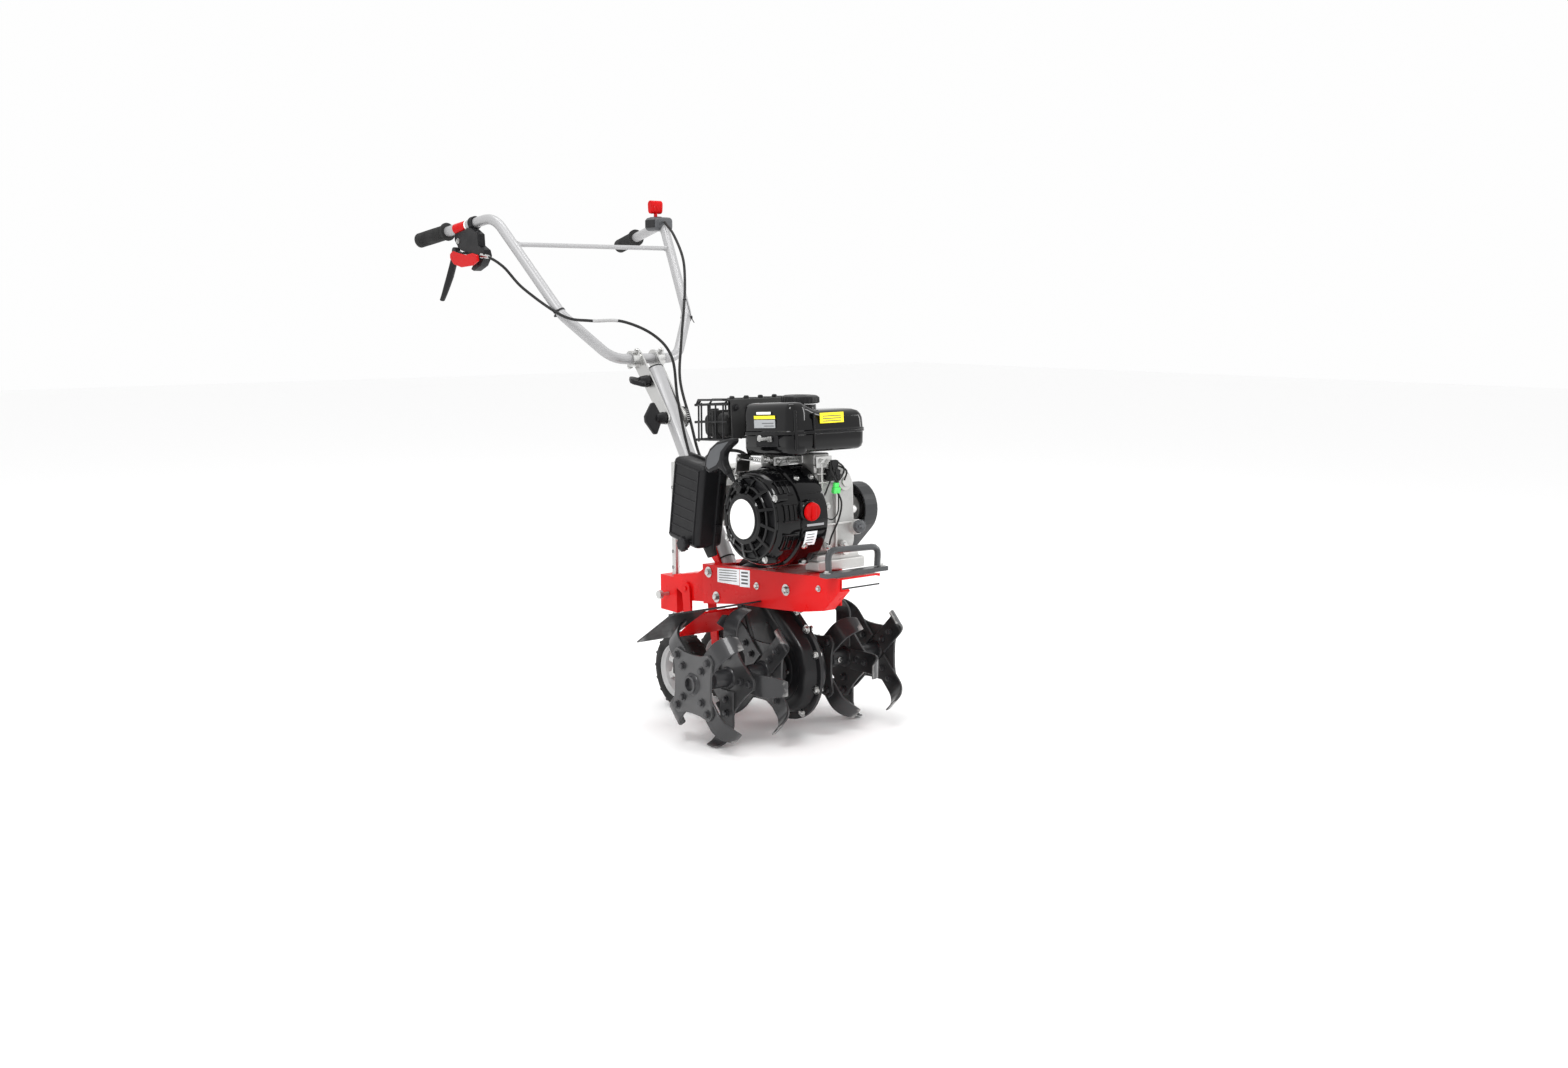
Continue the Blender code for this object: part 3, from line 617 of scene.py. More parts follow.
for side, sign in SIDES:
    tyre = ((40, 55), (37.5, 59), (36, 65), (36.6, 71), (39, 76), (43, 78), (46, 78.6), (66, 78.6), (69, 78),
            (73, 76), (75.4, 71), (76, 65), (74.5, 59), (72, 55))
    add_lathe([(sign * x, r) for x, r in tyre], WHEEL, 72)
    for i in range(36):
        x0, x1 = (40, 55) if i % 2 else (57, 72)
        lug = ((-3, 76.4), (3, 76.4), (2.4, 79.9), (-2.4, 79.9))
        add_prism([polar(WHEEL, tau * i / 36, r, w) for w, r in lug], sign * x0, sign * x1)
    finish("wheel_tyre_" + side, RUBBER, side + "_wheel", 40, "wheel_" + side)

    rim = ((39, 54.5), (38, 55.5), (39.5, 56.5), (72.5, 56.5), (74, 55.5), (73, 54.5), (69, 53), (66, 50),
           (46, 50), (43, 53))
    add_lathe([(sign * x, r) for x, r in rim], WHEEL, 64)
    hub = ((37.5, 6.6), (37.5, 14), (40, 15), (50, 17), (52, 21), (60, 21), (62, 17), (72, 15), (74.5, 14),
           (74.5, 6.6))
    add_lathe([(sign * x, r) for x, r in hub], WHEEL, 40)
    for i in range(8):
        spoke_side = ((18, 6.5), (34, 4.2), (51.5, 8.5), (51.5, -8.5), (34, -4.2), (18, -6.5))
        add_prism([polar(WHEEL, tau * (i + 0.5) / 8, r, w) for r, w in spoke_side], sign * 53, sign * 59)
    finish("wheel_rim_" + side, RIM, side + "_wheel", 35, edge=(0.8,))

    add_bolt((sign * 76.4, *WHEEL), (sign, 0, 0), 7, 4, 10)
    finish("wheel_nut_" + side, BOLT, "wheel_carrier", 40)

# Depth stake

repaint(ZINC, "depth_stake", "stake_plunger", edge=0.5)

for i in range(9):
    z = 175 + i * 34
    for x in (-8.15, 7.6):
        rim = [(x, 2.4), (x, 3.6), (x + 0.55, 3.6), (x + 0.55, 2.4)]
        add_lathe(rim, (STAKE_Y, z), 14)
finish("stake_hole_rims", TINE, "stake", 30)

# Engine: blower housing and recoil starter

shell = ((-20.5, 90), (-20.5, 95), (-23, 95.4), (-76, 95.4), (-79, 94.4), (-80.5, 90.4), (-104, 89.6),
         (-112, 88), (-119, 85), (-123.6, 82), (-125, 79), (-125, 62), (-122, 62), (-121.6, 78), (-116, 83),
         (-108, 86), (-28, 88))
add_lathe(shell, CRANK, 80)
finish("blower_shroud", GLOSS, "frame", 35, "blower_housing")

for ring_in, ring_out, x in ((74, 80, -129.5), (58, 63.5, -138), (45, 49, -143.4)):
    ring = [(x + 5, ring_in), (x + 5, ring_out), (x + 1.2, ring_out), (x, ring_out - 1.2),
            (x, ring_in + 1.2), (x + 1.2, ring_in)]
    add_lathe(ring, CRANK, 80)
for i in range(12):
    section = ((-3.4, 1.2), (-2.6, 0), (2.6, 0), (3.4, 1.2), (3.4, 6), (-3.4, 6))
    rings = []
    for k in range(7):
        r = 46 + 31 * k / 6
        x = -143.4 + 13.4 * ((r - 45) / 31) ** 1.6
        a = tau * i / 12 + 0.1 + 0.1 * (k / 6)
        rings.append([(x + h, *polar(CRANK, a, r, w)) for w, h in section])
    add_loft(rings)
centre_rim = [(-128, 39), (-128, 48.5), (-142.5, 48.5), (-144.4, 46.5), (-144.8, 43), (-144.8, 39)]
add_lathe(centre_rim, CRANK, 72)
finish("starter_cover", GLOSS, "frame", 35, "recoil_cover")

add_lathe([(-125.3, 0.5), (-125.3, 78.5), (-127, 78.5), (-127, 0.5)], CRANK, 64)
finish("starter_mesh_plate", PLASTIC)

badge = [(-140, 0.2), (-140, 37), (-146.4, 37), (-147.4, 36), (-147.6, 34), (-146.9, 33), (-147, 0.2)]
add_lathe(badge, CRANK, 72)
finish("starter_badge", WHITE)

ring = [(-141.9, 36.8), (-141.9, 40.2), (-145.8, 40.2), (-146.4, 39.4), (-146.4, 37.2)]
add_lathe(ring, CRANK, 72)
finish("starter_badge_ring", PLASTIC)

SHROUD_BOSSES = around(CRANK, 84, 4, radians(59))
for place in SHROUD_BOSSES:
    add_lathe([(-104, 0.3), (-104, 10), (-123, 9), (-126, 7.6), (-126, 0.3)], place, 24)
finish("shroud_bosses", GLOSS)

for y, z in SHROUD_BOSSES:
    add_bolt((-126, y, z), (-1, 0, 0), 5, 4, 7)
for angle, x in ((128, -66), (128, -32), (210, -66), (70, -50)):
    a = radians(angle)
    add_bolt((x, *polar(CRANK, a, 95)), (0, cos(a), sin(a)), 4.4, 3.6, 6.4)
finish("shroud_bolts", BOLT, "frame", 40)


def shroud_arc(x0, x1, low, high, first, turn, steps):
    """A bar round the shroud between two radii, from an angle of first through turn degrees."""
    bar = [(x0, low), (x0, high), (x1, high), (x1, low)]
    add_lathe(bar, CRANK, steps, radians(first), radians(turn))


for first in (160, 128, 196):
    for x in (-117, -106, -95):
        slat = [(x, 88), (x, 92), (x + 5.5, 92.4), (x + 5.5, 88)]
        add_lathe(slat, CRANK, 6, radians(first), radians(18))
    for edge in (-2, 18):
        shroud_arc(-119, -86, 87, 92, first + edge, 2, 2)
for angle in (148, 156, 178, 186):
    shroud_arc(-75, -26, 94, 96.4, angle, 1.4, 1)
finish("shroud_louvres", GLOSS, edge=(0.8,))

shroud_arc(-71, -44, 94.6, 96, 192, 17, 8)
finish("shroud_label", LABEL, "frame", 40)

shroud_arc(-70, -30, 94.6, 95.9, 183.5, 3.4, 3)
finish("shroud_strip", LIGHT_GREY, "frame", 40)

for i in range(4):
    shroud_arc(-67, -50, 95.8, 96.3, 195 + i * 3.4, 0.8, 2)
finish("shroud_label_lines", GREY_PLASTIC, "frame", 40)

# Engine: crankcase

add_prism(hull([(-68, 390, 36), (-64, 484, 36), (18, 498, 36), (20, 386, 36)]), -19, 78)
add_box((-16, 22), (-97, 38), (470, 550), PITCH)
add_box((-18, 98), (-112, -70), (331, 352), PITCH)
add_box((-18, 95), (20, 57), (323, 346), PITCH)
add_box((-15, 88), (-106, -66), (346, 362), PITCH)
finish("crankcase_body", CAST, "frame", 35, "crankcase", (4, 3))

cover_circles = ((-25.0, 408.0, 62.0), (-32.0, 470.0, 54.0))
cover_layers = ((74, 4), (76, 5), (83, 5), (84, 3), (84, 0), (87, -3), (91, -8), (94, -16))
add_loft([[(x, *p) for p in band(cover_circles, grow, 28)] for x, grow in cover_layers])
add_lathe([(90, 10), (90, 26), (96, 25), (98, 22), (98, 10)], CRANK, 36)
COVER_BOLTS = [(-28 + 62 * y, 438 + 80 * z) for y, z in around((0, 0), 1, 9, 0.3)]
for place in COVER_BOLTS:
    add_lathe([(70, 0.3), (70, 9), (86, 8), (86, 0.3)], place, 20)
finish("crankcase_cover", CAST)

for y, z in COVER_BOLTS:
    add_bolt((86, y, z), (1, 0, 0), 5, 5, 7)
for x, z in FRONT_BOSSES:
    add_bolt((x, -112, z), (0, -1, 0.064), 4.8, 4.6, 7)
for x in (-8, 88):
    add_bolt((x, -96, 348), (0, 0, 1), 6.5, 6, 10)
finish("crankcase_bolts", BOLT, "frame", 40)

for x, low, high in ((-6, 372, 545), (30, 372, 480)):
    add_box((x - 2.4, x + 2.4), (-107, -98), (low, high), 0)
add_box((-16, 74), (-106, -98), (418, 422), 0)
for z, out in ((500, -99), (516, -96), (532, -93)):
    add_box((-16, 21), (out - 9, out + 8), (z - 1.6, z + 1.6), 0)
add_rod((50, -88, 496), (50, -108, 498), 17, 32, end_radius=16)
add_rod((50, -108, 498), (50, -111, 498.4), 9, 24)
for x, z in FRONT_BOSSES:
    add_rod((x, -98, z), (x, -112, z), 8, 20)
finish("crankcase_ribs", CAST, edge=(1.2,))

add_rod((78, -70, 404), (78, -113, 411), 16, 28, end_radius=14)
add_rod((48, -80, 366), (48, -114, 370), 10, 24)
finish("oil_neck", CAST)

plug = [(0, 0.2), (0, 12), (5, 12.6), (9, 12), (10.5, 9), (10.5, 4), (13.6, 4), (13.6, 0.2)]
add_turned(plug, (78, -112.5, 411), (78, -126, 413))
for x, z in around(OIL_PLUG, 12, 10):
    add_box((x - 1, x + 1), (-122, -115), (z - 1, z + 1))
add_box((70, 86), (-125.8, -121), (411, 415))
finish("oil_filler_cap", GREY_PLASTIC, "oil_filler", 35, "oil_plug")

# Engine: cylinder, carburettor, linkage

repaint(CAST, "cylinder", "carburettor", "flywheel", edge=0.8)

add_rod((0, 196, 468), (-14, 222, 478), 8, 20)
add_rod((-14, 222, 478), (-30, 226, 480), 7, 20)
finish("spark_plug_cap", RUBBER, "frame", 40)
lead = [(-30, 226, 480), (-56, 222, 486), (-66, 200, 510), (-62, 160, 540), (-55, 90, 548), (-52, 48, 535)]
sweep("ignition_lead", smooth_path(lead, 8), 3.2, RUBBER, "frame")

for x, y, z, pitch in (
    ((-84, 30), (-62, -59), (533, 549), PITCH),
    ((-84, 30), (-62, -24), (541, 543.5), PITCH),
    ((-96, -40), (-40, -37), (530, 552), 4),
    ((-74, -52), (-92, -64), (534, 536.5), -10),
    ((-36, -33), (-84, 30), (534, 547), PITCH),
    ((-108, -76), (22, 25), (516, 550), 10),
    ((-20, 18), (-106, -103), (528, 549), PITCH),
):
    add_box(x, y, z, pitch)
finish("governor_plates", ZINC, edge=(0.5,))

for place in ((-74, -63, 541), (-50, -63, 541), (-10, -63, 540), (-8, -106, 540), (8, -106, 538),
              (-88, -40, 544), (-104, 22, 540)):
    add_bolt(place, (0, -1, 0), 4.2, 4, 6)
for place in ((-64, -80, 536), (-84, -44, 543)):
    add_bolt(place, (0, 0, 1), 4.2, 4, 6)
finish("governor_bolts", BOLT, "frame", 40)
rod = [(-100, -60, 540), (-100, 20, 540), (-78, 60, 520), (-78, 110, 500)]
sweep("governor_rod", rounded(rod, 12), 1.3, BOLT, "frame")
spring_ends = (((-90, -60, 542), (-90, 6, 542)), ((-80, -74, 543), (-30, -76, 542)))
for index, (start, end) in enumerate(spring_ends):
    a, b = Vector(start), Vector(end)
    along = (b - a).normalized()
    side_way = along.cross(Vector((0, 0, 1))).normalized()
    up_way = side_way.cross(along)
    coil = []
    for i in range(121):
        t = i / 120
        angle = t * tau * 10
        coil.append(a.lerp(b, t) + side_way * 3.2 * cos(angle) + up_way * 3.2 * sin(angle))
    sweep(f"governor_spring_{index}", coil, 0.6, BOLT, "frame", 1)

# Engine: fuel tank


def tank_turn(x, y, z):
    """A point given as if the tank were level, turned with the tank."""
    pivot = Vector(TANK_PIVOT)
    return tuple(pivot + Matrix.Rotation(radians(PITCH), 3, "X") @ (Vector((x, y, z)) - pivot))


def tank_ring(z, grow, x1=86, corner=20, steps=7):
    """The tank's outline at height z, moved out by grow."""
    inset = max(0, -12 - grow)
    grow += inset
    x0, x1 = -98 + inset + corner, x1 - inset - corner
    y0, y1 = -128 + inset + corner, 22 - inset - corner
    points = []
    for x, y, first in ((x1, y1, 0), (x0, y1, 90), (x0, y0, 180), (x1, y0, 270)):
        for i in range(steps):
            a = radians(first + 90 * i / (steps - 1))
            points.append((*polar((x, y), a, corner + grow), z))
    return [tank_turn(*p) for p in points]


lower = ((556, -14), (557.5, -9), (561, -4), (568, -1), (588, 0), (590, 2.2), (592.6, 2.2))
upper = ((593, 2.2), (595.5, 2.2), (597.4, 0), (614, -1), (622, -4), (628, -9.5), (631.6, -18), (633.2, -30),
         (634, -46))
add_loft([tank_ring(z, grow) for z, grow in lower])
add_loft([tank_ring(z, grow) for z, grow in upper])
raised = ((551, -10), (553.5, -5), (558, -2.2), (565, -1), (628, -1), (638, -2.6), (644, -6), (647.4, -11),
          (648.8, -18))
add_loft([tank_ring(z, grow, x1=-50, corner=18) for z, grow in raised])
slope = ((-66, 647.4), (-54, 645), (-44, 640.5), (-34, 636), (-24, 633))
section = ((-125, 46), (-125, 14), (-121, 6), (-112, 0), (6, 0), (15, 6), (19, 14), (19, 46))
add_loft([[tank_turn(x, y, top - drop) for y, drop in section] for x, top in slope])
finish("tank_shell", GLOSS, "frame", 32, "fuel_tank")

add_box((-90, -85), (-131, -126), (562, 634), PITCH, TANK_PIVOT)
add_box((-46, -42), (-130.4, -126), (562, 628), PITCH, TANK_PIVOT)
add_turned([(0, 2), (0, 31), (6, 30), (12, 30), (12, 2)], (*CAP_CENTRE, 632), (*CAP_CENTRE, 645))
add_box((-70, -56), (-40, -20), (545, 553), PITCH)
finish("tank_neck", GLOSS, edge=(1.5, 3))
for name, paint, x, y, z in (
    ("front", YELLOW, (-30, 26), (-130.8, -129.2), (608, 627)),
    ("pale", WHITE, (-99.4, -98.6), (-72, -30), (628, 632.5)),
    ("lime", YELLOW, (-99.4, -98.6), (-84, -22), (619.5, 625.5)),
    ("grey", LIGHT_GREY, (-99.4, -98.6), (-84, -22), (603, 618)),
):
    add_box(x, y, z, PITCH, TANK_PIVOT)
    finish("tank_label_" + name, paint)

marks = [((-24, 20), (-131.2, -130.6), z) for z in (611, 615.6, 620.2)]
marks += [((-99.8, -99.2), (-80, -52), 606), ((-99.8, -99.2), (-80, -46), 611)]
for x, y, z in marks:
    add_box(x, y, (z, z + 1.4), PITCH, TANK_PIVOT)
finish("tank_label_marks", GREY_PLASTIC)

add_box((-99.6, -95), (-90, -24), (568, 595), PITCH, TANK_PIVOT)
finish("tap_recess", PLASTIC, edge=(2,))

add_turned([(0, 0.3), (0, 6.5), (3, 6.5), (3, 0.3)], (-99.6, -40, 583), (-105, -40, 583), 24)
add_box((-104.6, -101.4), (-74, -36), (580, 586), -6)
add_box((-105.6, -101.4), (-79, -68), (579, 589), -6)
finish("tap_lever", BOLT, "tap", 35, "fuel_tap", (0.8,))

cap_profile = [(0, 0.3), (0, 34), (1.5, 35.4), (10, 35), (12.6, 33.6), (14.2, 30), (14.2, 14), (13.2, 12),
               (13.2, 0.3)]
add_turned(cap_profile, (*CAP_CENTRE, 646.4), (*CAP_CENTRE, 661), 72)
for x, y in around(CAP_CENTRE, 34.6, 28):
    add_rod((x, y, 647.4), (x, y, 657.5), 1.8, 8, end_radius=1.2)
finish("tank_cap_knurled", PLASTIC, "tank_cap", 35, "fuel_cap")

# Engine: muffler and heat shield

for y, top in (((63, 97), 623), ((103, 137), 622)):
    add_box((-104, 62), y, (576, top), PITCH, (0, 100, 600))
finish("muffler_shells", MUFFLER, edge=(13, 5))

for x, y, z in (
    ((-107, 65), (98, 102), (571, 628)), ((-106, 24), (40, 43), (577, 651)), ((20, 79), (40, 43), (577, 626)),
    ((-106, 24), (43, 60), (648, 651)), ((-62, -18), (42, 66), (596, 606)),
):
    add_box(x, y, z, PITCH)
for x in (-96, -50, -4):
    add_box((x - 5, x + 5), (56, 59), (616, 649), PITCH)
add_box((-98, -82), (112, 124), (620, 630), PITCH)
finish("heat_shield", MUFFLER, "frame", 35, "muffler", (1.2,))

for x in (-96, -62, -28, 6):
    add_bolt((x, 52, 650), (0, 0, 1), 5, 6, 8.5)
    add_bolt((x, 40, 636), (0, -1, 0), 4.2, 4, 6.5)
for x, z in ((-98, 580), (-98, 620), (56, 578), (56, 618)):
    add_bolt((x, 102, z), (0, 1, 0), 4.2, 4, 6.5)
finish("muffler_bolts", BLACK, "frame", 40)

for z in (590, 604):
    add_rod((34, 130, z), (34, 144, z), 6.5, 24)
finish("exhaust_outlets", MUFFLER, "frame", 40)
repaint(BLACK, "muffler_guard")

for x in (-105, -78, -40, -2, 36, 70):
    for y0, z0, y1, z1 in ((147, 638, 140, 646), (140, 646, 60, 650)):
        add_rod((x, y0, z0), (x, y1, z1), 1.9, 10)
for x in (-111, 76):
    for y in (60, 84, 108, 130):
        add_rod((x, y, 571), (x, y, 641), 1.9, 10)
add_rod((-111, 60, 650), (76, 60, 650), 2.3, 10)
for y0, z0, y1, z1 in ((147, 636, 140, 646), (140, 646, 60, 650)):
    add_rod((-111, y0, z0), (-111, y1, z1), 2.1, 10)
finish("muffler_guard_wires", BLACK, "frame", 50)

# Air filter

add_box((-149, -84), (86, 186), (368, 532), FILTER_TILT, FILTER_PIVOT)
finish("filter_case", PLASTIC, "frame", 35, "air_filter_box", (11, 4))

boxes = [((-110, -104), (82, 190), (364, 536))]
boxes += [((-151, -147), y, (378, 522)) for y in ((96, 99.5), (172.5, 176))]
boxes += [((-151, -147), (96, 176), (z, z + 3.5)) for z in (378, 518.5)]
boxes += [((-150.4, -147), (100, 172), (z, z + 2.6)) for z in range(398, 518, 20)]
boxes += [((-112, -100), y, (z, z + 16)) for z in (400, 500) for y in ((78, 84), (188, 193))]
for x, y, z in boxes:
    add_box(x, y, z, FILTER_TILT, FILTER_PIVOT)
finish("filter_ribs", PLASTIC, edge=(0.9,))

add_rod((-84, 120, 458), (-76, 120, 458), 22, 28)
add_rod((-108, 112, 366), (-104, 106, 344), 13, 24, end_radius=10)
finish("filter_duct", RUBBER, "frame", 40, edge=(1.5,))

knob = [(0, 0.3), (0, 9), (5, 10), (8, 13.6), (15, 13.6), (17.4, 11), (17.4, 0.3)]
add_turned(knob, (-150.6, *FILTER_NUT), (-168, *FILTER_NUT), 30)
for place in around(FILTER_NUT, 13, 8):
    add_rod((-157, *place), (-166, *place), 2, 10)
finish("filter_wing_knob", PLASTIC, "filter_nut", 35, "filter_knob")

# Engine: belt cover

repaint(CHARCOAL_PLASTIC, "belt_cover", edge=3.0)

cover_band = ((*CRANK, 50.0), (*INPUT, 43.5))
for grow_out, grow_in in ((-8, -11), (-20, -22)):
    loops = ((143, grow_out), (145.4, grow_out - 0.6), (145.4, grow_in + 0.6), (143, grow_in))
    join_loops([[bm.verts.new(at(x, *p)) for p in band(cover_band, grow, 24)] for x, grow in loops])
finish("belt_cover_ribs", CHARCOAL_PLASTIC)

for y, z in ((-45, 437), (100, 290), (28, 364)):
    add_bolt((144, y, z), (1, 0, 0), 5, 5, 9)
finish("belt_cover_bolts", BOLT, "frame", 40)

add_box((92, 118), (-20, 10), (380, 384), 40)
add_box((95, 112), (20, 52), (324, 340), 0)
finish("belt_cover_bracket", CAST, edge=(1,))

# Switch, wires and connector

add_turned([(0, 2), (0, 21), (10, 20), (13, 18), (13, 2)], (-65, -130, 456), (-65, -143, 455), 32)
finish("switch_housing", GLOSS, edge=(1.5, 3))

add_turned([(0, 0.3), (0, 17.5), (8, 16.5), (8, 0.3)], (-65, -145.4, 455), (-65, -153.4, 454.5), 36)
add_box((-70, -60), (-156.4, -152), (441, 469), PITCH)
finish("switch_rocker", RED_PLASTIC, "switch", 35, "stop_switch", (2.4, 4, 30))

for name, radius, route in (
    ("switch_wire_a", 1.6, [(-46, -136, 462), (-22, -128, 474), (-4, -122, 496), (12, -118, 520),
                            (16, -108, 540)]),
    ("switch_wire_b", 1.3, [(-46, -136, 452), (-18, -124, 440), (4, -124, 432), (20, -122, 446),
                            (22, -120, 480), (22, -116, 510), (18, -106, 540)]),
    ("oil_wire", 1.8, [(20, -116, 486), (30, -120, 462), (24, -120, 432), (6, -120, 400), (4, -116, 384)]),
):
    sweep(name, smooth_path(route, 6), radius, RUBBER, "frame")

add_box((9, 25), (-124, -115), (480, 491), 12)
add_box((11, 22), (-123, -116), (491, 500), 12)
finish("wire_connector", GREEN, edge=(1.2,))

add_box((4, 34), (-112, -98), (504, 524), 14)
add_box((10, 28), (-114, -104), (524, 541), 8)
finish("ignition_module", PLASTIC, edge=(2, 3))
for index, route in enumerate((
    [(8, -112, 538), (2, -122, 524), (10, -124, 508), (20, -120, 500)],
    [(26, -112, 538), (34, -122, 526), (26, -124, 510), (16, -120, 500)],
    [(30, -110, 530), (44, -118, 520), (42, -114, 502)],
)):
    sweep(f"module_wire_{index}", smooth_path(route, 5), 1.7, RUBBER, "frame")

# Starter grip

CRESCENT = [
    (-46, 587), (-31, 586), (5, 578), (28, 564), (42, 545), (45, 530), (40, 520), (30, 517), (14, 523),
    (0, 528), (-10, 524), (-20, 516), (-26, 524), (-16, 536), (-12, 546), (-14, 556), (-27, 568), (-42, 577),
]

add_prism(CRESCENT, -168, -150)
finish("starter_handle", PLASTIC, "starter_grip", 50, "recoil_grip", (6.5, 5, 25))

inlay = [(-34, 581), (4, 572), (24, 559), (35, 543), (37, 530), (30, 524), (6, 534), (-4, 545), (-8, 560),
         (-24, 573)]
add_prism(inlay, -168.6, -166)
finish("starter_handle_inlay", GREY_PLASTIC, "starter_grip", 50, edge=(1,))

neck = [(0, 1.4), (0, 7.5), (8, 6.4), (20, 4.6), (26, 3.4), (26, 1.4)]
add_turned(neck, (-158, -14, 528), (-150, -26, 506), 24)
finish("starter_handle_neck", PLASTIC, "starter_grip", 50)

add_turned([(0, 2.4), (0, 9), (4, 9.6), (12, 9), (12, 2.4)], (-147, -29, 502), (-138, -32, 494), 28)
add_box((-150, -122), (-44, -20), (488, 503), 30)
finish("rope_guide", GLOSS, edge=(2, 3))

# Column and clamp

repaint(SILVER, "handle_column", "crossbar")
repaint(ZINC, "clamp_plate_near", "clamp_plate_far", edge=0.8)
column_foot, column_head = Vector((0, 190, 300)), Vector((0, 452, 695))
column_axis = (column_head - column_foot).normalized()


def column_ring(distance, length, profile):
    """A ring round the column, its profile given from distance millimetres up from the foot."""
    start = column_foot + column_axis * distance
    add_turned(profile, tuple(start), tuple(start + column_axis * length), 40)


# The thin dark ring at the open top end of the column is a painted shadow, standing in for the shade at the
# tube's rim.
column_ring(471, 9, [(0, 14.6), (0, 17.6), (2.4, 17.6), (3.2, 16.4), (3.2, 14.6)])
column_ring(20, 10, [(0, 14), (0, 18.2), (3, 18.2), (3, 14)])
finish("column_rings_with_painted_top_shadow", PLASTIC, "frame", 40)

for distance in (196, 226):
    column_ring(distance, 5, [(0, 17.2), (0, 18.6), (4, 18.6), (4, 17.2)])
finish("column_cable_ties", PLASTIC, "frame", 40)

teeth = [polar(HEIGHT_PIVOT, tau * i / 60, 22.5 if i % 2 else 20.6) for i in range(60)]
add_prism(teeth, 21.6, 27)
finish("height_ratchet", PLASTIC, "handle", 20)

for side, sign in SIDES:
    for y, z, dy, dz in ((474, 731, -0.6, 0.8), (501, 698, 0.62, -0.78)):
        add_bolt((sign * 30.5, y, z), (0, dy, dz), 4.4, 4.6, 6.4)
finish("saddle_bolts", BOLT, "handle", 40)

for name, node, body, centre, lean, half, tip in (
    ("height_wing_knob", "upper_knob", "height_knob", (445, 668), 78, 27, -64),
    ("pivot_wing_knob", "pivot_knob", "pivot_bolt", HEIGHT_PIVOT, 8, 33, -72),
):
    stem = [(-22.4, 5), (-22.4, 12.5), (-26, 13), (-40, 11), (-46, 9), (-46, 0.4), (-24, 0.4)]
    add_lathe(stem, centre, 32)
    y, z = sin(radians(lean)), cos(radians(lean))
    wing = [(-34, -10), (-46, -half), (-53, -half), (tip, -6)]
    wing += [(x, -u) for x, u in wing[::-1]]
    add_loft([
        [(x, centre[0] + u * y + off * z, centre[1] + u * z - off * y) for x, u in wing] for off in (-5, 5)
    ])
    finish(name, PLASTIC, body, 35, node, (3, 4, 40))

add_rod((-22, *HEIGHT_PIVOT), (30, *HEIGHT_PIVOT), 4.8, 20)
add_bolt((27.2, *HEIGHT_PIVOT), (1, 0, 0), 8.5, 7, 12)
finish("pivot_through_bolt", BOLT, "pivot_bolt", 40)

# Handlebar and grips

near_arm = [(-82, 487, 714), (-160, 560, 806), (-219, 735, 1014), (-265.8, 988, 972)]
far_arm = [(-x, y, z) for x, y, z in near_arm]
bar_path = [Vector(p) for p in rounded(near_arm[::-1] + far_arm, 60, 9)]
bar = sweep("handlebar_tube", bar_path, BAR_RADIUS, SILVER, "handle", 8)
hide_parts("handlebar")
for side, sign in SIDES:
    front, back = (sign * 248.2, 893, 987.8), (sign * 267.1, 995, 970.9)
    profile = [(0, 11.5), (0, 18.8), (1.2, 20), (4, 20), (5.4, 18.6), (6.4, 15.6)]
    for i in range(15):
        t = 9 + i * 5.7
        crown = 0.9 * sin(pi * i / 14)
        low, high = 15.0 + crown, 16.4 + crown * 0.2
        profile += [(t, low), (t + 0.8, high), (t + 3.6, high), (t + 4.5, low)]
    profile += [(96, 15.8), (97, 16.5), (103, 16.5), (104.6, 14.6), (105, 11), (105, 0.4), (101, 0.4),
                (101, 11.2)]
    add_turned(profile, front, back, 48)
    finish("ribbed_grip_" + side, RUBBER, "handle", 35, "grip_" + side)
front_end, back_end = Vector((-233.4, 813, 1001.1)), Vector((-247, 886, 989))
for name, paint, first, last in (
    ("handle_label", RED_PLASTIC, 0.18, 0.72), ("handle_label_pale", WHITE, 0.12, 0.16),
):
    long = 73 * (last - first)
    sleeve = [(0, BAR_RADIUS), (0, BAR_RADIUS + 0.25), (long, BAR_RADIUS + 0.25), (long, BAR_RADIUS)]
    add_turned(sleeve, front_end.lerp(back_end, first), back_end, 40)
    finish(name, paint, "handle", 40)

for side, sign in SIDES:
    fillet = [(0, 4.9), (0, 7), (4, 6.2), (6.5, 5.1)]
    add_turned(fillet, (sign * 192.5, 685, 955), (sign * 180, 685, 955), 24)
finish("crossbar_welds", SILVER, "handle", 40)

# Clutch lever

clamp = [(4, 11.2), (4, 13.8), (5, 14.6), (17, 14.6), (18, 13.8), (18, 11.2)]
add_turned(clamp, (-229.8, 790, 1004.8), (-248.2, 893, 987.8), 40)
bracket_side = [
    (866, 981), (866, 968), (850, 952), (836, 945), (792, 938), (777, 918), (793, 904), (781, 900),
    (748, 911), (729, 931), (735, 944), (758, 954), (760, 978), (792, 993),
]
add_prism(bracket_side, -247, -229)
finish("clutch_clamp", PLASTIC, "handle", 35, "lever_bracket", (2.5, 3))

add_bolt((-247, 848, 966), (-1, 0, 0), 4.2, 3.4, 6)
add_bolt((-250, 800, 926), (-1, 0, 0), 4.2, 4, 6.5)
finish("clutch_clamp_bolts", BOLT, "handle", 40)

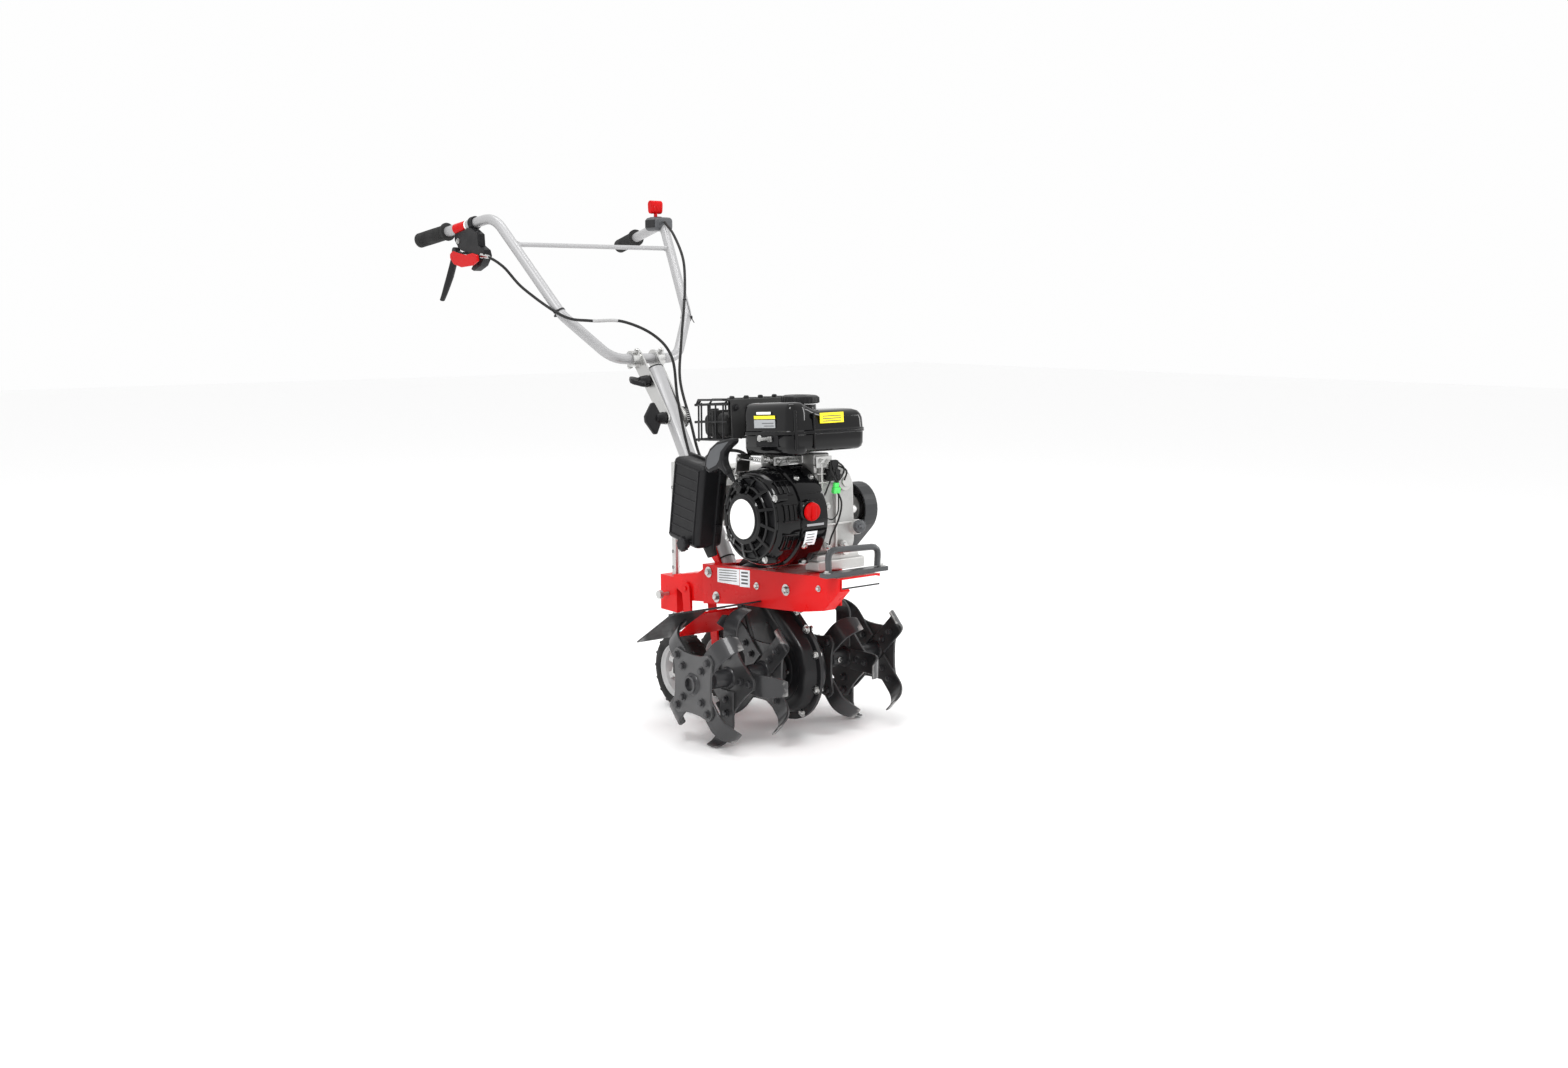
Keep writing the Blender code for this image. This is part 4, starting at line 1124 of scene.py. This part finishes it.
path = [(858, 950), (868, 934), (880, 912), (894, 890), (908, 872), (922, 854), (936, 838)]
rings = []
for i, (y, z) in enumerate(path):
    t = i / (len(path) - 1)
    along = direction_at(path, i)
    normal = Vector((along.y, -along.x))
    wide = 6.0 + 2.6 * sin(pi * min(1, t * 1.1))
    high = (7.5 - 2.0 * t) * (0.7 if t in (0, 1) else 1)
    rings.append([
        (-246 + wide * u, y + normal.x * high * v, z + normal.y * high * v) for u, v in around((0, 0), 1, 14)
    ])
add_loft(rings)
add_lathe([(-252, 0.4), (-252, 9), (-240, 9), (-240, 0.4)], (862, 944), 24)
add_box((-249, -243), (832, 862), (934, 944), 14)
finish("clutch_lever_blade", PLASTIC, "clutch", 50, "clutch_lever")

lock_side = [
    (858, 938), (846, 944), (816, 938), (786, 934), (757, 937), (735, 933), (731, 920), (756, 911),
    (808, 908), (842, 915), (858, 928),
]
add_prism(lock_side, -264.2, -257.8)
add_rod((-258.4, 800, 922), (-251.2, 800, 922), 6, 24)
finish("lock_latch", RED_PLASTIC, "lock", 50, "lock_button", (2.6, 4, 25))

adjuster = [(0, 2), (0, 6.5), (10, 6.5), (12, 5), (26, 4.4), (30, 3.6), (30, 2)]
add_turned(adjuster, (-243, 748, 932), (-243, 712, 928), 24)
finish("cable_adjuster", BOLT, "handle", 40)

# Throttle

add_box((190, 240), (722, 772), (997, 1028))
finish("throttle_body", GREY_PLASTIC, "handle", 35, "throttle_housing", (9, 5))

add_box((201, 211), (729, 765), (1026, 1029))
add_box((189, 195), (728, 766), (1004, 1022))
finish("throttle_slot_rim", PLASTIC, "handle", 35, edge=(1,))

add_prism(hull([(747, 1019, 5), (747, 1046, 4)], 20), 203.5, 208.5)
finish("throttle_arm", RED_PLASTIC, "throttle", 35, edge=(1,))

add_prism(hull([(747, 1044, 8), (747, 1057, 9)], 24), 190, 221)
for x in (196, 205.5, 215):
    add_prism(hull([(747, 1045, 9.4), (747, 1056.4, 9.6)], 24), x - 2, x + 2)
finish("throttle_knob", RED_PLASTIC, "throttle", 35, "throttle_lever", (1.6, 3, 40))

# Control cables

clutch_route = smooth_path(
    [(-243, 832, 940), (-243, 735, 931), (-225, 690, 908), (-204, 641, 861), (-170, 542, 805),
     (-150, 465, 795), (-110, 407, 794), (-58, 369, 766), (-38, 333, 720), (-30, 325, 634), (-28, 287, 524),
     (-24, 224, 440), (10, 205, 404), (60, 190, 388), (104, 120, 384), (110, 66, 392)],
    8,
)
throttle_route = smooth_path(
    [(212, 719, 1016), (196, 660, 985), (172, 590, 930), (150, 552, 871), (118, 512, 816), (75, 462, 742),
     (46, 425, 668), (30, 366, 586), (28, 330, 515), (30, 270, 450), (20, 220, 400),
     (-20, 205, 392), (-60, 190, 420), (-72, 152, 450)],
    8,
)


def bending_tube(name, route, radius, paint, replaces=None):
    """A round tube along the route, with its transform baked; it rides on no body."""
    rings = []
    side_way = Vector((1, 0, 0))
    for i, p in enumerate(route):
        along = direction_at(route, i)
        side_way = (side_way - along * side_way.dot(along)).normalized()
        up_way = along.cross(side_way)
        rings.append([tuple(Vector(p) + side_way * u + up_way * v) for u, v in around((0, 0), radius, 12)])
    add_loft(rings)
    bmesh.ops.recalc_face_normals(bm, faces=bm.faces)
    obj = link_mesh(name, paint)
    obj.data.shade_smooth()
    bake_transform(obj)
    if replaces:
        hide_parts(replaces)


bending_tube("clutch_cable_jacket", clutch_route, 3.0, RUBBER, "clutch_cable")
bending_tube("throttle_cable_jacket", throttle_route, 3.0, RUBBER, "throttle_cable")
bending_tube("cable_sleeve", [p for p in clutch_route if 409 < p.y < 463 and p.z > 780], 3.5, SLEEVE)
for side, route in (("near", clutch_route), ("far", throttle_route)):
    candidates = [(i, p) for i in range(1, len(bar_path) - 1) for p in route if 790 < bar_path[i].z < 900]
    index, beside = min(candidates, key=lambda pair: (bar_path[pair[0]] - pair[1]).length)
    place = bar_path[index]
    along = direction_at(bar_path, index)
    across = beside - place - along * (beside - place).dot(along)
    offset = across.length
    across.normalize()
    upward = along.cross(across)
    outline = hull([(0, 0, 12.2), (offset, 0, 4.4)], 32)
    middle = offset / 2
    loops = []
    for t, gap in ((-1.8, 0), (1.8, 0), (1.8, 1.1), (-1.8, 1.1)):
        loop = []
        for u, v in outline:
            pull = 1 - gap / hypot(u - middle, v)
            u, v = middle + (u - middle) * pull, v * pull
            loop.append(bm.verts.new(at(*(place + along * t + across * u + upward * v))))
        loops.append(loop)
    join_loops(loops)
    head = place + upward * 12.5
    add_rod(tuple(head), tuple(head + across * 6), 2.4, 12)
    add_rod(tuple(head), tuple(head - across * 12 + upward * 5), 1.0, 8)
    finish("cable_tie_" + side, PLASTIC, "handle", 40)

# Stage, light and camera

floor_paint = bpy.data.materials.new("floor_white")
floor_paint.use_nodes = True
floor_shader = floor_paint.node_tree.nodes["Principled BSDF"]
set_inputs(floor_shader, base_color=(0.97, 0.97, 0.97, 1), roughness=0.9)
bmesh.ops.create_grid(bm, x_segments=1, y_segments=1, size=14.0)
floor = link_mesh("floor", floor_paint)
floor.location.z = -0.0005

world = bpy.data.worlds.new("studio")
world.use_nodes = True
set_inputs(world.node_tree.nodes["Background"], color=(1, 1, 1, 1), strength=0.99)
bpy.context.scene.world = world


def lamp(name, place, target, size, power):
    data = bpy.data.lights.new(name, "AREA")
    data.shape = "RECTANGLE"
    data.size, data.size_y = size
    data.energy = power
    obj = link(name, data)
    obj.location = place
    obj.rotation_euler = (Vector(target) - Vector(place)).to_track_quat("-Z", "Y").to_euler()


lamp("key", (-1.9, -1.2, 2.6), (0, -0.2, 0.4), (0.7, 0.9), 34)
lamp("side", (2.4, -1.6, 1.4), (0, -0.2, 0.4), (0.5, 1.6), 24)
lamp("top", (0.2, 0.3, 3.2), (0, 0, 0.4), (2.0, 1.0), 26)

camera_data = bpy.data.cameras.new("camera")
camera_data.sensor_width = 36.0
camera_data.lens = 1560.0 / 1568.0 * 36.0
camera = link("camera", camera_data)
camera_right = Vector((0.78007, -0.62569, 0.0))
camera_back = Vector((-0.61905, -0.7718, 0.1452))
camera_up = camera_back.cross(camera_right)
rotation = Matrix((camera_right, camera_up, camera_back)).transposed()
camera.matrix_world = Matrix.Translation(at(-1866.45, -2312.49, 826.97)) @ rotation.to_4x4()
bpy.context.scene.camera = camera
bpy.context.scene.view_settings.view_transform = "Standard"
